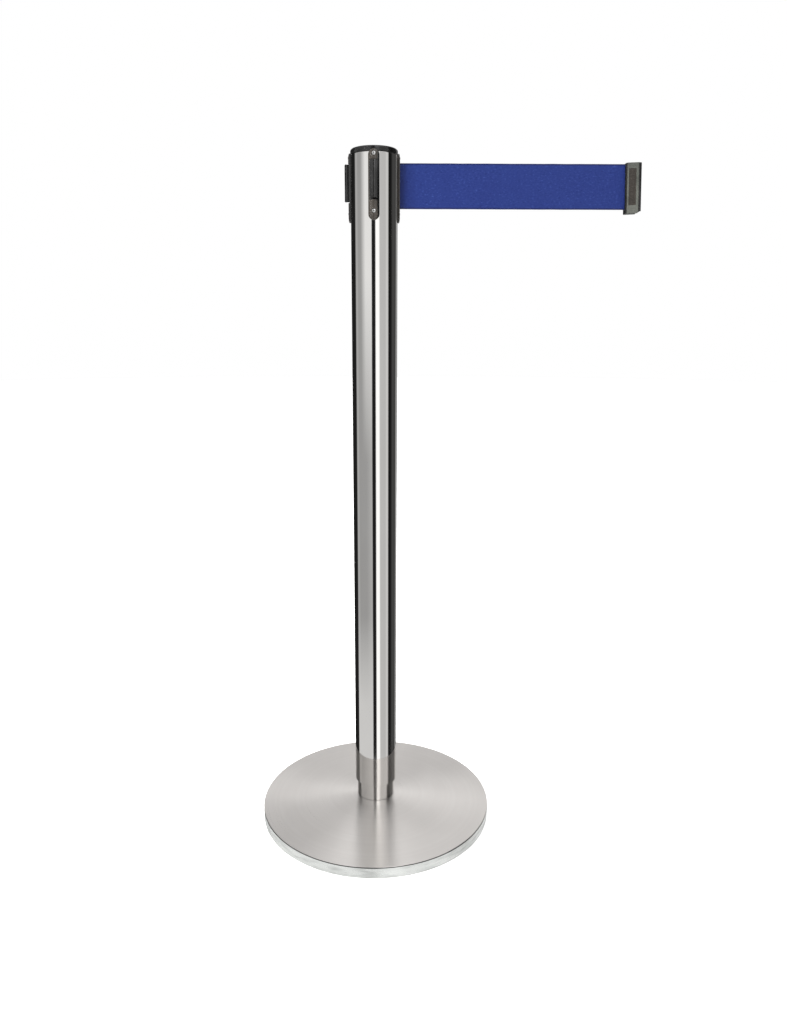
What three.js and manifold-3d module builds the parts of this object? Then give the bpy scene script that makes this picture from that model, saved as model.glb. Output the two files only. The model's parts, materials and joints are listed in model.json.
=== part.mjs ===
// Retractable belt stanchion: a weighted base, a polished pole and a head that holds a sprung belt cassette.
// Millimetres, +Z up. The origin is on the pole's axis at the floor; the belt leaves the head along +X and
// the front of the stanchion faces -Y. Pieces that touch in the real object keep a gap of GAP here.
import * as THREE from "three";
import { mergeVertices } from "three/addons/utils/BufferGeometryUtils.js";
import Module from "manifold-3d";

const wasm = await Module();
wasm.setup();

// ---------- driving dimensions ----------
const GAP = 0.3;
const SIDES = 48; // facets round the base
const SMALL_SIDES = 36; // facets round the pole and what is in it
const TOTAL_HEIGHT = 915;

// base
const BASE_RADIUS = 165;
const RIM_TOP_Z = 16.5;
const RIM_BEND = 1;
const CONE_TOP_Z = 25.6;
const COVER_WALL = 1;
const COVER_FOOT_Z = 0.4;
const MAT_THICKNESS = 3;
const COLLAR_RADIUS = 26.7;
const COLLAR_WALL = 1.5;
const BOLT_RADIUS = 6;
const BOLT_HEAD_Z = 5;
const BOLT_HEAD_HEIGHT = 7.5;
const BOLT_HEAD_RADIUS = 10.97;
const BOLT_POCKET_RADIUS = 20;
const BOLT_POCKET_TOP_Z = 17.6;
const LOCK_WASHER = [6.4, 10.2, 2.2]; // bore radius, radius, thickness
const FLAT_WASHER = [6.4, 12, 2];

// pole
const POLE_RADIUS = 29.6;
const POLE_WALL = 1.2;
const POLE_FOOT_Z = 50;
const POLE_TOP_Z = 908;
const POLE_BORE = POLE_RADIUS - POLE_WALL;
const PLUG_TOP_Z = 80;
const BELT_SLOT_Z = [843.1, 901.5];
const BELT_SLOT_WIDTH = 4.4;
const KEY_Z = [847, 895]; // a key on each receiver's back sits in a slot of the tube
const KEY_WIDTH = 5.2;

// cap
const CAP_SKIRT_BOTTOM_Z = 901.5;
const CAP_ROOF = 3.5;
const CAP_SHOULDER = 3;

// head plates
const PLATE_BOTTOM_Z = 828.2;
const PLATE_TOP_Z = 910.8;
const PLATE_WIDTH = 13.9;
const PLATE_FACE = 32.6;
const PLATE_CROWN_RADIUS = 11;
const PLATE_END_EASE = 2;
const PLATE_BACK_RADIUS = POLE_RADIUS + 0.55;
const POCKET_BOTTOM_Z = 851.8;
const POCKET_TOP_Z = 898.6;
const POCKET_WIDTH = 11.2;
const POCKET_FLOOR = 31.1;
const RAIL_BOTTOM_Z = 853.5;
const RAIL_TOP_Z = 897.6;
const RAIL_WEB = 3;
const RAIL_FLANGE = 9;
const RAIL_NECK = 35.6;
const RAIL_FACE = 37.2;
const RAIL_LEAD = 0.7;
const MOUTH_Z = [843.4, 901.2];
const MOUTH_WIDTH = 3.8;
const OUTLET_Z = [844.6, 900.4];
const OUTLET_WIDTH = 2.3;
const SCREW_UPPER_Z = 905.3;
const SCREW_LOWER_Z = 839;
const SCREW_SEAT = 31.4;
const SCREW_RADIUS = 1.3;
const SCREW_HEAD_RADIUS = 2.4;

// belt
const BELT_BOTTOM_Z = 845.3;
const BELT_TOP_Z = 899.7;
const BELT_THICKNESS = 0.6;
const BELT_START_X = 27.6;

// cassette and spool
const CASSETTE_RADIUS = 26.5;
const CASSETTE_BORE = 24.9;
const CASSETTE_BOTTOM_Z = 808;
const CASSETTE_TOP_Z = 902;
const SHELF_BOTTOM_Z = 840.7;
const SHELF_TOP_Z = 842.8;
const LID_BOTTOM_Z = CASSETTE_TOP_Z + GAP;
const LID_THICKNESS = 2;
const COVER_DISC_TOP_Z = CASSETTE_BOTTOM_Z - GAP;
const COVER_DISC_THICKNESS = 2.5;
const PILLAR_CIRCLE = 24.2;
const PILLAR_RADIUS = 2.2;
const PILLAR_ANGLES = [45, 165, 285];
const GUIDE_X = 24.3;
const GUIDE_Y = 1.9;
const GUIDE_RADIUS = 1.3;
const AXLE_RADIUS = 3;
const AXLE_FLAT = 2.2;
const AXLE_GROOVE_Z = 905.7; // the retaining clip snaps in here
const AXLE_GROOVE_RADIUS = 2.3;
const HUB_RADIUS = 9;
const FLANGE_RADIUS = 21.2;
const FLANGE_THICKNESS = 1.4;
const DRUM_BOTTOM_Z = 843.4;
const DRUM_TOP_Z = 901.7;
const ROLL_RADIUS = 20.2;
const ARBOR_RADIUS = 6;
const ARBOR_BOTTOM_Z = 811;
const ARBOR_TOP_Z = 839.2;
const SPRING_BOTTOM_Z = 812.5;
const SPRING_TOP_Z = 837.5;
const SPRING_THICKNESS = 0.5;
const SPRING_TURNS = 6;
const ANCHOR_CIRCLE = 22.2;
const ANCHOR_ANGLE = 225;
const ANCHOR_RADIUS = 1;

// belt clip
const CLIP_LEFT = 317;
const CLIP_RIGHT = 336.8;
const CLIP_HALF_DEPTH = 6.5;
const CLIP_BOTTOM_Z = 840.4;
const CLIP_TOP_Z = 900.8;
const CLIP_STEP_X = 332.2; // right of here the clip ends a little higher
const CLIP_STEP_Z = 842.8;
const CLIP_CORNER = 1.5;
const CLIP_BEVEL = [2.7, 1.9]; // along x and y, at the corner in front of the channel
const CHANNEL_X = [330.9, 335.4];
const CHANNEL_HALF_WIDTH = 4.8;
const CHANNEL_TOP_Z = RAIL_TOP_Z + GAP;
const CHANNEL_MOUTH = 2;
const PANEL_X = [320.4, 329.7];
const PANEL_Z = [850.1, 893.9];
const PANEL_DEPTH = 0.8;
const BELT_ROOM_X = [319.9, 329.5];
const BELT_ROOM_Z = [BELT_BOTTOM_Z - GAP, BELT_TOP_Z + GAP];
const BELT_ROOM_FRONT = 3.4;
const BELT_SLIT = 1.8;
const BACK_PLATE_X = [318, 330.3];
const BACK_PLATE_Z = [841.4, 900.1];
const BACK_PLATE_THICKNESS = 1.8;
const CLIP_SCREW_Z = 843.6;
const CLIP_SCREW_BORE = 1.2;
const CLIP_PIN_X = 324.8;
const CLIP_PIN_RADIUS = 1.3;

// ---------- finishes ----------
function finish(color, roughness, metalness) {
  return { color, roughness, metalness };
}
const MIRROR_STEEL = finish(0xd9d9d9, 0.05, 1);
const BRUSHED_STEEL = finish(0xcbc7c4, 0.35, 1);
const ZINC = finish(0xb9bcc0, 0.35, 1);
const IRON = finish(0x3b3a39, 0.8, 0.6);
const ALUMINIUM = finish(0xb4b6b8, 0.45, 1);
const SPRING_STEEL = finish(0x56606c, 0.3, 1);
const BRONZE = finish(0x9c7440, 0.5, 0.9);
const RUBBER = finish(0x1b1b1b, 0.9, 0);
const BLACK_PLASTIC = finish(0x1f1d1c, 0.4, 0);
const CLIP_PLASTIC = finish(0x3d3d36, 0.45, 0);
const INNER_PLASTIC = finish(0x2a2b2d, 0.6, 0);
const DRUM_PLASTIC = finish(0xd8d6cf, 0.5, 0);
const BLUE_WEBBING = finish(0x2f4188, 0.9, 0);

// ---------- solids ----------
const stanchion = new THREE.Group();
const radians = THREE.MathUtils.degToRad;

// A closed geometry as a manifold solid, turned outwards if it was made inside out.
function solid(geometry) {
  const flat = geometry.index ? geometry.toNonIndexed() : geometry;
  const bare = new THREE.BufferGeometry().setAttribute("position", flat.getAttribute("position"));
  const merged = mergeVertices(bare, 1e-4);
  const vertProperties = new Float32Array(merged.attributes.position.array);
  const triVerts = new Uint32Array(merged.index.array);
  const made = new wasm.Manifold(new wasm.Mesh({ numProp: 3, vertProperties, triVerts }));
  if (made.volume() >= 0) return made;
  triVerts.reverse();
  return new wasm.Manifold(new wasm.Mesh({ numProp: 3, vertProperties, triVerts }));
}

// Names a solid and adds it to the stanchion as one mesh.
function addPart(name, shape, look, turn = 0) {
  const mesh = shape.getMesh();
  const geometry = new THREE.BufferGeometry();
  geometry.setAttribute("position", new THREE.BufferAttribute(new Float32Array(mesh.vertProperties), 3));
  geometry.setIndex(new THREE.BufferAttribute(new Uint32Array(mesh.triVerts), 1));
  geometry.computeVertexNormals();
  const part = new THREE.Mesh(geometry, new THREE.MeshStandardMaterial(look));
  part.name = name;
  part.rotation.z = radians(turn);
  stanchion.add(part);
}

// Turns a [radius, z] outline, closed or with both ends on the axis, about +Z.
function turned(outline, segments = SIDES) {
  const points = outline.map(([radius, z]) => new THREE.Vector2(radius, z));
  return solid(new THREE.LatheGeometry(points, segments).rotateX(Math.PI / 2));
}

function ring(inner, outer, bottom, top, segments = SMALL_SIDES) {
  return turned([[inner, bottom], [outer, bottom], [outer, top], [inner, top], [inner, bottom]], segments);
}

function rod(radius, bottom, top, segments = 24, x = 0, y = 0) {
  const shape = new THREE.CylinderGeometry(radius, radius, top - bottom, segments);
  return solid(shape.rotateX(Math.PI / 2).translate(x, y, (bottom + top) / 2));
}

// A rod along +X from one distance to another, at height z.
function radialRod(radius, from, to, z, segments = 16) {
  const shape = new THREE.CylinderGeometry(radius, radius, to - from, segments);
  return solid(shape.rotateZ(Math.PI / 2).translate((from + to) / 2, 0, z));
}

function block([left, right], [front, back], [bottom, top]) {
  const shape = new THREE.BoxGeometry(right - left, back - front, top - bottom);
  return solid(shape.translate((left + right) / 2, (front + back) / 2, (bottom + top) / 2));
}

// Extrudes an outline of the XY plane from bottom to top.
function upright(shape, bottom, top, curveSegments = 6) {
  const options = { depth: top - bottom, bevelEnabled: false, curveSegments };
  return solid(new THREE.ExtrudeGeometry(shape, options).translate(0, 0, bottom));
}

function turnAboutZ(shape, degrees) {
  return shape.rotate([0, 0, degrees]);
}

function polar(radius, degrees) {
  return [radius * Math.cos(radians(degrees)), radius * Math.sin(radians(degrees))];
}

// ---------- base ----------
function addFloorMat() {
  const radius = BASE_RADIUS - COVER_WALL - 0.7;
  const groove = (from) => [[from, 0], [from + 1, 1], [from + 5, 1], [from + 6, 0]];
  const outline = [
    [0, 0], ...groove(75), ...groove(135),
    [radius - 1, 0], [radius, 1], [radius, MAT_THICKNESS], [0, MAT_THICKNESS],
  ];
  addPart("floor_mat", turned(outline), RUBBER);
}

function addBaseWeight() {
  const radius = BASE_RADIUS - COVER_WALL - 1.5;
  const bottom = MAT_THICKNESS + GAP;
  const top = CONE_TOP_Z - COVER_WALL - 0.4;
  const bore = BOLT_RADIUS + 0.6;
  const edgeTop = RIM_TOP_Z - COVER_WALL - 0.9;
  const outline = [
    [bore, BOLT_POCKET_TOP_Z], [BOLT_POCKET_RADIUS, BOLT_POCKET_TOP_Z], [BOLT_POCKET_RADIUS, bottom],
    [radius - 1, bottom], [radius, bottom + 1], [radius, edgeTop - 1.3], [radius - 1.5, edgeTop],
    [COLLAR_RADIUS, top], [bore, top], [bore, BOLT_POCKET_TOP_Z],
  ];
  addPart("base_weight", turned(outline), IRON);
}

function addBaseCover() {
  const inside = BASE_RADIUS - COVER_WALL;
  const edge = [0, 30, 60, 90].map((angle) => {
    const [out, up] = polar(RIM_BEND, angle);
    return [BASE_RADIUS - RIM_BEND + out, RIM_TOP_Z - RIM_BEND + up];
  });
  const outline = [
    [BOLT_RADIUS + 1, CONE_TOP_Z - COVER_WALL], [COLLAR_RADIUS, CONE_TOP_Z - COVER_WALL],
    [inside - 0.5, RIM_TOP_Z - COVER_WALL], [inside, RIM_TOP_Z - COVER_WALL - 0.5], [inside, COVER_FOOT_Z],
    [BASE_RADIUS, COVER_FOOT_Z], ...edge, [COLLAR_RADIUS + 0.5, CONE_TOP_Z],
    [BOLT_RADIUS + 1, CONE_TOP_Z], [BOLT_RADIUS + 1, CONE_TOP_Z - COVER_WALL],
  ];
  addPart("base_cover", turned(outline), BRUSHED_STEEL);
}

// The plug fills the foot of the pole and its neck; the tie bolt screws up into it.
function addPoleFoot() {
  const seat = CONE_TOP_Z + GAP;
  const neck = COLLAR_RADIUS - COLLAR_WALL - GAP;
  const plug = POLE_BORE - 0.4;
  const bore = BOLT_RADIUS + GAP;
  const outline = [
    [bore, seat], [neck, seat], [neck, POLE_FOOT_Z + GAP], [plug, POLE_FOOT_Z + GAP],
    [plug, PLUG_TOP_Z - 2], [plug - 2, PLUG_TOP_Z], [bore, PLUG_TOP_Z], [bore, seat],
  ];
  addPart("bottom_plug", turned(outline, SMALL_SIDES), ALUMINIUM);
  const collar = ring(COLLAR_RADIUS - COLLAR_WALL, COLLAR_RADIUS, seat, POLE_FOOT_Z - GAP);
  addPart("base_collar", collar, MIRROR_STEEL);
}

function addTieBolt() {
  const headTop = BOLT_HEAD_Z + BOLT_HEAD_HEIGHT;
  const head = rod(BOLT_HEAD_RADIUS, BOLT_HEAD_Z, headTop, 6);
  const shank = rod(BOLT_RADIUS, headTop - 1, PLUG_TOP_Z - 6, 24);
  addPart("tie_bolt", head.add(shank), ZINC);
  const lockBottom = headTop + GAP;
  const [lockBore, lockRadius, lockThickness] = LOCK_WASHER;
  const lockTop = lockBottom + lockThickness;
  const split = block([0, lockRadius + 1], [-0.6, 0.6], [lockBottom - 1, lockTop + 1]);
  addPart("lock_washer", ring(lockBore, lockRadius, lockBottom, lockTop, 24).subtract(split), ZINC);
  const [flatBore, flatRadius, flatThickness] = FLAT_WASHER;
  const flatBottom = lockTop + GAP;
  addPart("flat_washer", ring(flatBore, flatRadius, flatBottom, flatBottom + flatThickness, 24), ZINC);
}

// ---------- pole ----------
function addPole() {
  let tube = ring(POLE_BORE, POLE_RADIUS, POLE_FOOT_Z, POLE_TOP_Z);
  const reach = [POLE_BORE - 2, POLE_RADIUS + 2];
  const beltSlot = block(reach, [-BELT_SLOT_WIDTH / 2, BELT_SLOT_WIDTH / 2], BELT_SLOT_Z);
  const keyHalf = KEY_WIDTH / 2 + GAP;
  const keySlot = block(reach, [-keyHalf, keyHalf], [KEY_Z[0] - GAP, KEY_Z[1] + GAP]);
  for (const turn of [0, 90, 180, 270]) {
    tube = tube.subtract(turnAboutZ(turn === 0 ? beltSlot : keySlot, turn));
    for (const z of [SCREW_UPPER_Z, SCREW_LOWER_Z]) {
      const hole = radialRod(SCREW_RADIUS + 0.4, ...reach, z, 8);
      tube = tube.subtract(turnAboutZ(hole, turn));
    }
  }
  addPart("pole_tube", tube, MIRROR_STEEL);
}

function addTopCap() {
  const flange = POLE_RADIUS + 0.25;
  const skirt = POLE_BORE - 0.4;
  const bore = CASSETTE_RADIUS + GAP;
  const roof = TOTAL_HEIGHT - CAP_ROOF;
  const edge = [0, 30, 60, 90].map((angle) => {
    const [out, up] = polar(CAP_SHOULDER, angle);
    return [flange - CAP_SHOULDER + out, TOTAL_HEIGHT - 0.5 - CAP_SHOULDER + up];
  });
  const outline = [
    [0, roof], [bore, roof], [bore, CAP_SKIRT_BOTTOM_Z], [skirt, CAP_SKIRT_BOTTOM_Z],
    [skirt, POLE_TOP_Z + GAP], [flange, POLE_TOP_Z + GAP], ...edge, [0, TOTAL_HEIGHT],
  ];
  let cap = turned(outline, SMALL_SIDES);
  for (const turn of [0, 90, 180, 270]) {
    const hole = radialRod(SCREW_RADIUS + GAP, bore - 2, skirt + 1, SCREW_UPPER_Z, 8);
    cap = cap.subtract(turnAboutZ(hole, turn));
  }
  addPart("top_cap", cap, BLACK_PLASTIC);
}

// ---------- head plates ----------
// A plate seen from outside is a bar with round ends; its face is crowned and its ends are eased.
function plateBlank() {
  const half = PLATE_WIDTH / 2;
  const face = new THREE.Shape();
  face.absarc(0, PLATE_TOP_Z - half, half, 0, Math.PI, false);
  face.absarc(0, PLATE_BOTTOM_Z + half, half, Math.PI, 2 * Math.PI, false);
  const options = { depth: 6, bevelEnabled: false, curveSegments: 6 };
  const bar = new THREE.ExtrudeGeometry(face, options).rotateX(Math.PI / 2).rotateZ(Math.PI / 2);
  const crownX = PLATE_FACE - PLATE_CROWN_RADIUS;
  const crown = rod(PLATE_CROWN_RADIUS, PLATE_BOTTOM_Z, PLATE_TOP_Z, 36, crownX, 0);
  const ease = PLATE_END_EASE;
  const inside = POLE_RADIUS - 10;
  const side = new THREE.Shape();
  side.moveTo(inside, PLATE_BOTTOM_Z);
  side.absarc(PLATE_FACE - ease, PLATE_BOTTOM_Z + ease, ease, -Math.PI / 2, 0, false);
  side.absarc(PLATE_FACE - ease, PLATE_TOP_Z - ease, ease, 0, Math.PI / 2, false);
  side.lineTo(inside, PLATE_TOP_Z);
  const sideOptions = { depth: PLATE_WIDTH + 2, bevelEnabled: false, curveSegments: 3 };
  const eased = new THREE.ExtrudeGeometry(side, sideOptions).rotateX(Math.PI / 2);
  eased.translate(0, PLATE_WIDTH / 2 + 1, 0);
  let plate = solid(bar.translate(POLE_RADIUS - 2, 0, 0)).intersect(crown).intersect(solid(eased));
  plate = plate.subtract(rod(PLATE_BACK_RADIUS, PLATE_BOTTOM_Z - 1, PLATE_TOP_Z + 1, SMALL_SIDES));
  for (const z of [SCREW_UPPER_Z, SCREW_LOWER_Z]) {
    plate = plate.subtract(radialRod(SCREW_HEAD_RADIUS + 0.5, SCREW_SEAT - GAP, PLATE_FACE + 1, z, 10));
    plate = plate.subtract(radialRod(SCREW_RADIUS + GAP, POLE_RADIUS - 2, PLATE_FACE, z, 8));
  }
  return plate;
}

// A receiver's rail is a T: a thin web with a wider flange that the channel of a belt clip slides over.
function addReceiver(name, turn) {
  const pocketWide = [-POCKET_WIDTH / 2, POCKET_WIDTH / 2];
  const pocket = block([POCKET_FLOOR, PLATE_FACE + 1], pocketWide, [POCKET_BOTTOM_Z, POCKET_TOP_Z]);
  const root = POCKET_FLOOR - 0.4;
  const key = block([POLE_BORE - 0.5, root], [-KEY_WIDTH / 2, KEY_WIDTH / 2], KEY_Z);
  const web = block([root, RAIL_NECK + 0.2], [-RAIL_WEB / 2, RAIL_WEB / 2], [RAIL_BOTTOM_Z, RAIL_TOP_Z]);
  const half = RAIL_FLANGE / 2;
  const flange = new THREE.Shape();
  flange.moveTo(RAIL_NECK, -half);
  flange.lineTo(RAIL_FACE - RAIL_LEAD, -half);
  flange.lineTo(RAIL_FACE, -half + 2 * RAIL_LEAD);
  flange.lineTo(RAIL_FACE, half - 2 * RAIL_LEAD);
  flange.lineTo(RAIL_FACE - RAIL_LEAD, half);
  flange.lineTo(RAIL_NECK, half);
  const rail = web.add(upright(flange, RAIL_BOTTOM_Z, RAIL_TOP_Z));
  addPart(name, plateBlank().subtract(pocket).add(key).add(rail), BLACK_PLASTIC, turn);
}

// The outlet has no rail: a slot runs through it, with a mouthpiece that reaches through the pole's wall.
function addOutlet() {
  const inside = CASSETTE_RADIUS + 0.5;
  const mouth = block([inside, PLATE_BACK_RADIUS + 0.4], [-MOUTH_WIDTH / 2, MOUTH_WIDTH / 2], MOUTH_Z);
  const slot = block([inside - 1, PLATE_FACE + 1], [-OUTLET_WIDTH / 2, OUTLET_WIDTH / 2], OUTLET_Z);
  addPart("outlet_plate", plateBlank().add(mouth).subtract(slot), BLACK_PLASTIC);
}

function plateScrew(tip, z) {
  const dome = turned([
    [0, 0], [SCREW_HEAD_RADIUS, 0], [SCREW_HEAD_RADIUS, 0.6], [SCREW_HEAD_RADIUS - 0.8, 1.3], [0, 1.5],
  ], 12).rotate([0, 90, 0]).translate([SCREW_SEAT, 0, z]);
  const shank = radialRod(SCREW_RADIUS, tip, SCREW_SEAT + 0.2, z, 8);
  let screw = dome.add(shank);
  const depth = [SCREW_SEAT + 0.8, SCREW_SEAT + 2];
  screw = screw.subtract(block(depth, [-1.3, 1.3], [z - 0.25, z + 0.25]));
  return screw.subtract(block(depth, [-0.25, 0.25], [z - 1.3, z + 1.3]));
}

function addHeadPlates() {
  const sides = [["outlet", 0], ["back", 90], ["left", 180], ["front", 270]];
  for (const [side, turn] of sides) {
    if (side === "outlet") addOutlet();
    else addReceiver("receiver_" + side, turn);
    addPart("plate_screw_" + side + "_upper", plateScrew(CASSETTE_RADIUS + 0.6, SCREW_UPPER_Z), ZINC, turn);
    addPart("plate_screw_" + side + "_lower", plateScrew(CASSETTE_BORE + GAP, SCREW_LOWER_Z), ZINC, turn);
  }
}

// ---------- cassette ----------
function addCassetteBody() {
  let body = ring(CASSETTE_BORE, CASSETTE_RADIUS, CASSETTE_BOTTOM_Z, CASSETTE_TOP_Z);
  body = body.add(ring(ARBOR_RADIUS + 0.5, CASSETTE_BORE + 0.5, SHELF_BOTTOM_Z, SHELF_TOP_Z));
  const slotReach = [GUIDE_X - 1, CASSETTE_RADIUS + 1];
  body = body.subtract(block(slotReach, [-1.4, 1.4], [SHELF_TOP_Z + 1.5, CASSETTE_TOP_Z + 1]));
  for (const y of [-GUIDE_Y, GUIDE_Y])
    body = body.add(rod(GUIDE_RADIUS, SHELF_TOP_Z - 0.5, CASSETTE_TOP_Z, 12, GUIDE_X, y));
  for (const angle of PILLAR_ANGLES) {
    const place = polar(PILLAR_CIRCLE, angle);
    body = body.add(rod(PILLAR_RADIUS, CASSETTE_BOTTOM_Z, CASSETTE_TOP_Z, 10, ...place));
    body = body.subtract(rod(1.3, CASSETTE_BOTTOM_Z - 1, CASSETTE_BOTTOM_Z + 6, 8, ...place));
    body = body.subtract(rod(1.3, CASSETTE_TOP_Z - 7, CASSETTE_TOP_Z + 1, 8, ...place));
  }
  for (const turn of [0, 90, 180, 270]) {
    const hole = radialRod(SCREW_RADIUS + GAP, CASSETTE_BORE - 0.3, CASSETTE_RADIUS + 1, SCREW_LOWER_Z, 8);
    body = body.subtract(turnAboutZ(hole, turn));
  }
  addPart("cassette_body", body, INNER_PLASTIC);
}

function endDisc(bottom, top) {
  let disc = ring(4.5, CASSETTE_RADIUS, bottom, top);
  for (const angle of PILLAR_ANGLES)
    disc = disc.subtract(rod(1.3, bottom - 1, top + 1, 8, ...polar(PILLAR_CIRCLE, angle)));
  return disc;
}

function addCassetteEnds() {
  const lidTop = LID_BOTTOM_Z + LID_THICKNESS;
  const coverBottom = COVER_DISC_TOP_Z - COVER_DISC_THICKNESS;
  addPart("cassette_lid", endDisc(LID_BOTTOM_Z, lidTop), INNER_PLASTIC);
  const anchorHole = rod(ANCHOR_RADIUS + GAP, coverBottom - 1, COVER_DISC_TOP_Z + 1, 10, ...anchorPlace());
  addPart("spring_cover", endDisc(coverBottom, COVER_DISC_TOP_Z).subtract(anchorHole), INNER_PLASTIC);
  PILLAR_ANGLES.forEach((angle, i) => {
    const place = polar(PILLAR_CIRCLE, angle);
    const lidHead = rod(2, lidTop + GAP, lidTop + 1.6, 10, ...place);
    const lidShank = rod(1, lidTop - 8, lidTop + 0.5, 8, ...place);
    addPart("lid_screw_" + (i + 1), lidHead.add(lidShank), ZINC);
    const coverHead = rod(2, coverBottom - 1.6, coverBottom - GAP, 10, ...place);
    const coverShank = rod(1, coverBottom - 0.5, coverBottom + 8, 8, ...place);
    addPart("cover_screw_" + (i + 1), coverHead.add(coverShank), ZINC);
  });
}

// The lower bush is a blind cup that carries the axle's end; the upper one is a flanged sleeve.
function addBushes() {
  const bore = AXLE_RADIUS + GAP;
  const discTop = COVER_DISC_TOP_Z;
  const cup = turned([
    [0, discTop - 3.2], [4.2, discTop - 3.2], [4.2, discTop + GAP], [5.4, discTop + GAP],
    [5.4, discTop + 1.1], [bore, discTop + 1.1], [bore, discTop - 2.2], [0, discTop - 2.2],
  ], 24);
  addPart("lower_bush", cup, BRONZE);
  const lidTop = LID_BOTTOM_Z + LID_THICKNESS;
  const sleeve = turned([
    [bore, LID_BOTTOM_Z], [4.2, LID_BOTTOM_Z], [4.2, lidTop + GAP], [5.4, lidTop + GAP],
    [5.4, lidTop + 1.1], [bore, lidTop + 1.1], [bore, LID_BOTTOM_Z],
  ], 24);
  addPart("upper_bush", sleeve, BRONZE);
}

// ---------- spool ----------
// The bore that the axle's flat drives: a round hole with one flat side.
function keyedBore(bottom, top) {
  const flat = block([AXLE_FLAT + GAP, 6], [-6, 6], [bottom - 1, top + 1]);
  return rod(AXLE_RADIUS + GAP, bottom, top, 24).subtract(flat);
}

function addAxle() {
  const groove = AXLE_GROOVE_Z;
  const top = groove + 2;
  const foot = COVER_DISC_TOP_Z - 1.9;
  let axle = rod(AXLE_RADIUS, foot, top, 24);
  axle = axle.subtract(block([AXLE_FLAT, 6], [-6, 6], [ARBOR_BOTTOM_Z - 1, DRUM_TOP_Z + GAP]));
  axle = axle.subtract(ring(AXLE_GROOVE_RADIUS, AXLE_RADIUS + 1, groove, groove + 1, 24));
  addPart("spool_axle", axle, ZINC);
  const opening = block([0, 6], [-1.8, 1.8], [groove - 1, groove + 2]);
  const clip = ring(AXLE_GROOVE_RADIUS + GAP, 5.2, groove + 0.15, groove + 0.85, 24).subtract(opening);
  addPart("axle_clip", clip, SPRING_STEEL);
}

function addDrum() {
  const lowerFlange = DRUM_BOTTOM_Z + FLANGE_THICKNESS;
  const upperFlange = DRUM_TOP_Z - FLANGE_THICKNESS;
  const drum = turned([
    [0, DRUM_BOTTOM_Z], [FLANGE_RADIUS, DRUM_BOTTOM_Z], [FLANGE_RADIUS, lowerFlange],
    [HUB_RADIUS, lowerFlange], [HUB_RADIUS, upperFlange], [FLANGE_RADIUS, upperFlange],
    [FLANGE_RADIUS, DRUM_TOP_Z], [0, DRUM_TOP_Z],
  ], 36);
  addPart("spool_drum", drum.subtract(keyedBore(DRUM_BOTTOM_Z - 1, DRUM_TOP_Z + 1)), DRUM_PLASTIC);
  addPart("belt_roll", ring(HUB_RADIUS + GAP, ROLL_RADIUS, BELT_BOTTOM_Z, BELT_TOP_Z, 36), BLUE_WEBBING);
}

function addArbor() {
  const body = rod(ARBOR_RADIUS, ARBOR_BOTTOM_Z, ARBOR_TOP_Z, 24);
  const slit = block([-7, -AXLE_RADIUS - 0.9], [-0.6, 0.6], [ARBOR_BOTTOM_Z + 1, ARBOR_TOP_Z + 1]);
  const bored = body.subtract(keyedBore(ARBOR_BOTTOM_Z - 1, ARBOR_TOP_Z + 1));
  addPart("spring_arbor", bored.subtract(slit), ALUMINIUM);
}

// ---------- clock spring ----------
function anchorPlace() {
  return polar(ANCHOR_CIRCLE, ANCHOR_ANGLE);
}

// A strip of even thickness along a line of points, as one closed outline.
function stripOutline(path, thickness) {
  const sides = [[], []];
  path.forEach(([x, y], i) => {
    const [x0, y0] = path[Math.max(i - 1, 0)];
    const [x1, y1] = path[Math.min(i + 1, path.length - 1)];
    const length = Math.hypot(x1 - x0, y1 - y0);
    const across = [(-(y1 - y0) / length) * thickness / 2, ((x1 - x0) / length) * thickness / 2];
    sides[0].push(new THREE.Vector2(x + across[0], y + across[1]));
    sides[1].unshift(new THREE.Vector2(x - across[0], y - across[1]));
  });
  return new THREE.Shape([...sides[0], ...sides[1]]);
}

// The strip starts in the arbor's slit, winds outwards and hooks round the anchor pin.
function springPath() {
  const bend = ANCHOR_RADIUS + GAP + SPRING_THICKNESS / 2;
  const start = ARBOR_RADIUS + 0.6;
  const end = ANCHOR_CIRCLE - bend;
  const first = 190;
  const last = ANCHOR_ANGLE + 360 * SPRING_TURNS;
  const steps = 16 * SPRING_TURNS;
  const path = [[-ARBOR_RADIUS + 1.6, 0], [-ARBOR_RADIUS, 0]];
  for (let i = 0; i <= steps; i++) {
    const share = i / steps;
    path.push(polar(start + (end - start) * share, first + (last - first) * share));
  }
  const [x, y] = anchorPlace();
  for (let turn = 40; turn <= 240; turn += 40) {
    const [out, up] = polar(bend, ANCHOR_ANGLE + 180 - turn);
    path.push([x + out, y + up]);
  }
  return path;
}

function addClockSpring() {
  const strip = stripOutline(springPath(), SPRING_THICKNESS);
  addPart("clock_spring", upright(strip, SPRING_BOTTOM_Z, SPRING_TOP_Z), SPRING_STEEL);
  const pin = rod(ANCHOR_RADIUS, COVER_DISC_TOP_Z - 2, SPRING_TOP_Z + 1, 12, ...anchorPlace());
  addPart("spring_anchor_pin", pin, ZINC);
}

// ---------- belt ----------
// The feed is the stretch of belt that leaves the roll at a tangent and turns round a guide post.
function addBeltFeed() {
  const reach = ROLL_RADIUS + GAP + BELT_THICKNESS / 2;
  const turnX = GUIDE_X - 0.9;
  const leave = -THREE.MathUtils.radToDeg(Math.acos(reach / turnX));
  const path = [polar(reach, leave - 12), polar(reach, leave - 6), polar(reach, leave)];
  path.push([turnX - 0.5, -0.8], [turnX + 0.35, 0], [BELT_START_X - GAP, 0]);
  const strip = stripOutline(path, BELT_THICKNESS);
  addPart("belt_feed", upright(strip, BELT_BOTTOM_Z, BELT_TOP_Z), BLUE_WEBBING);
}

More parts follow.
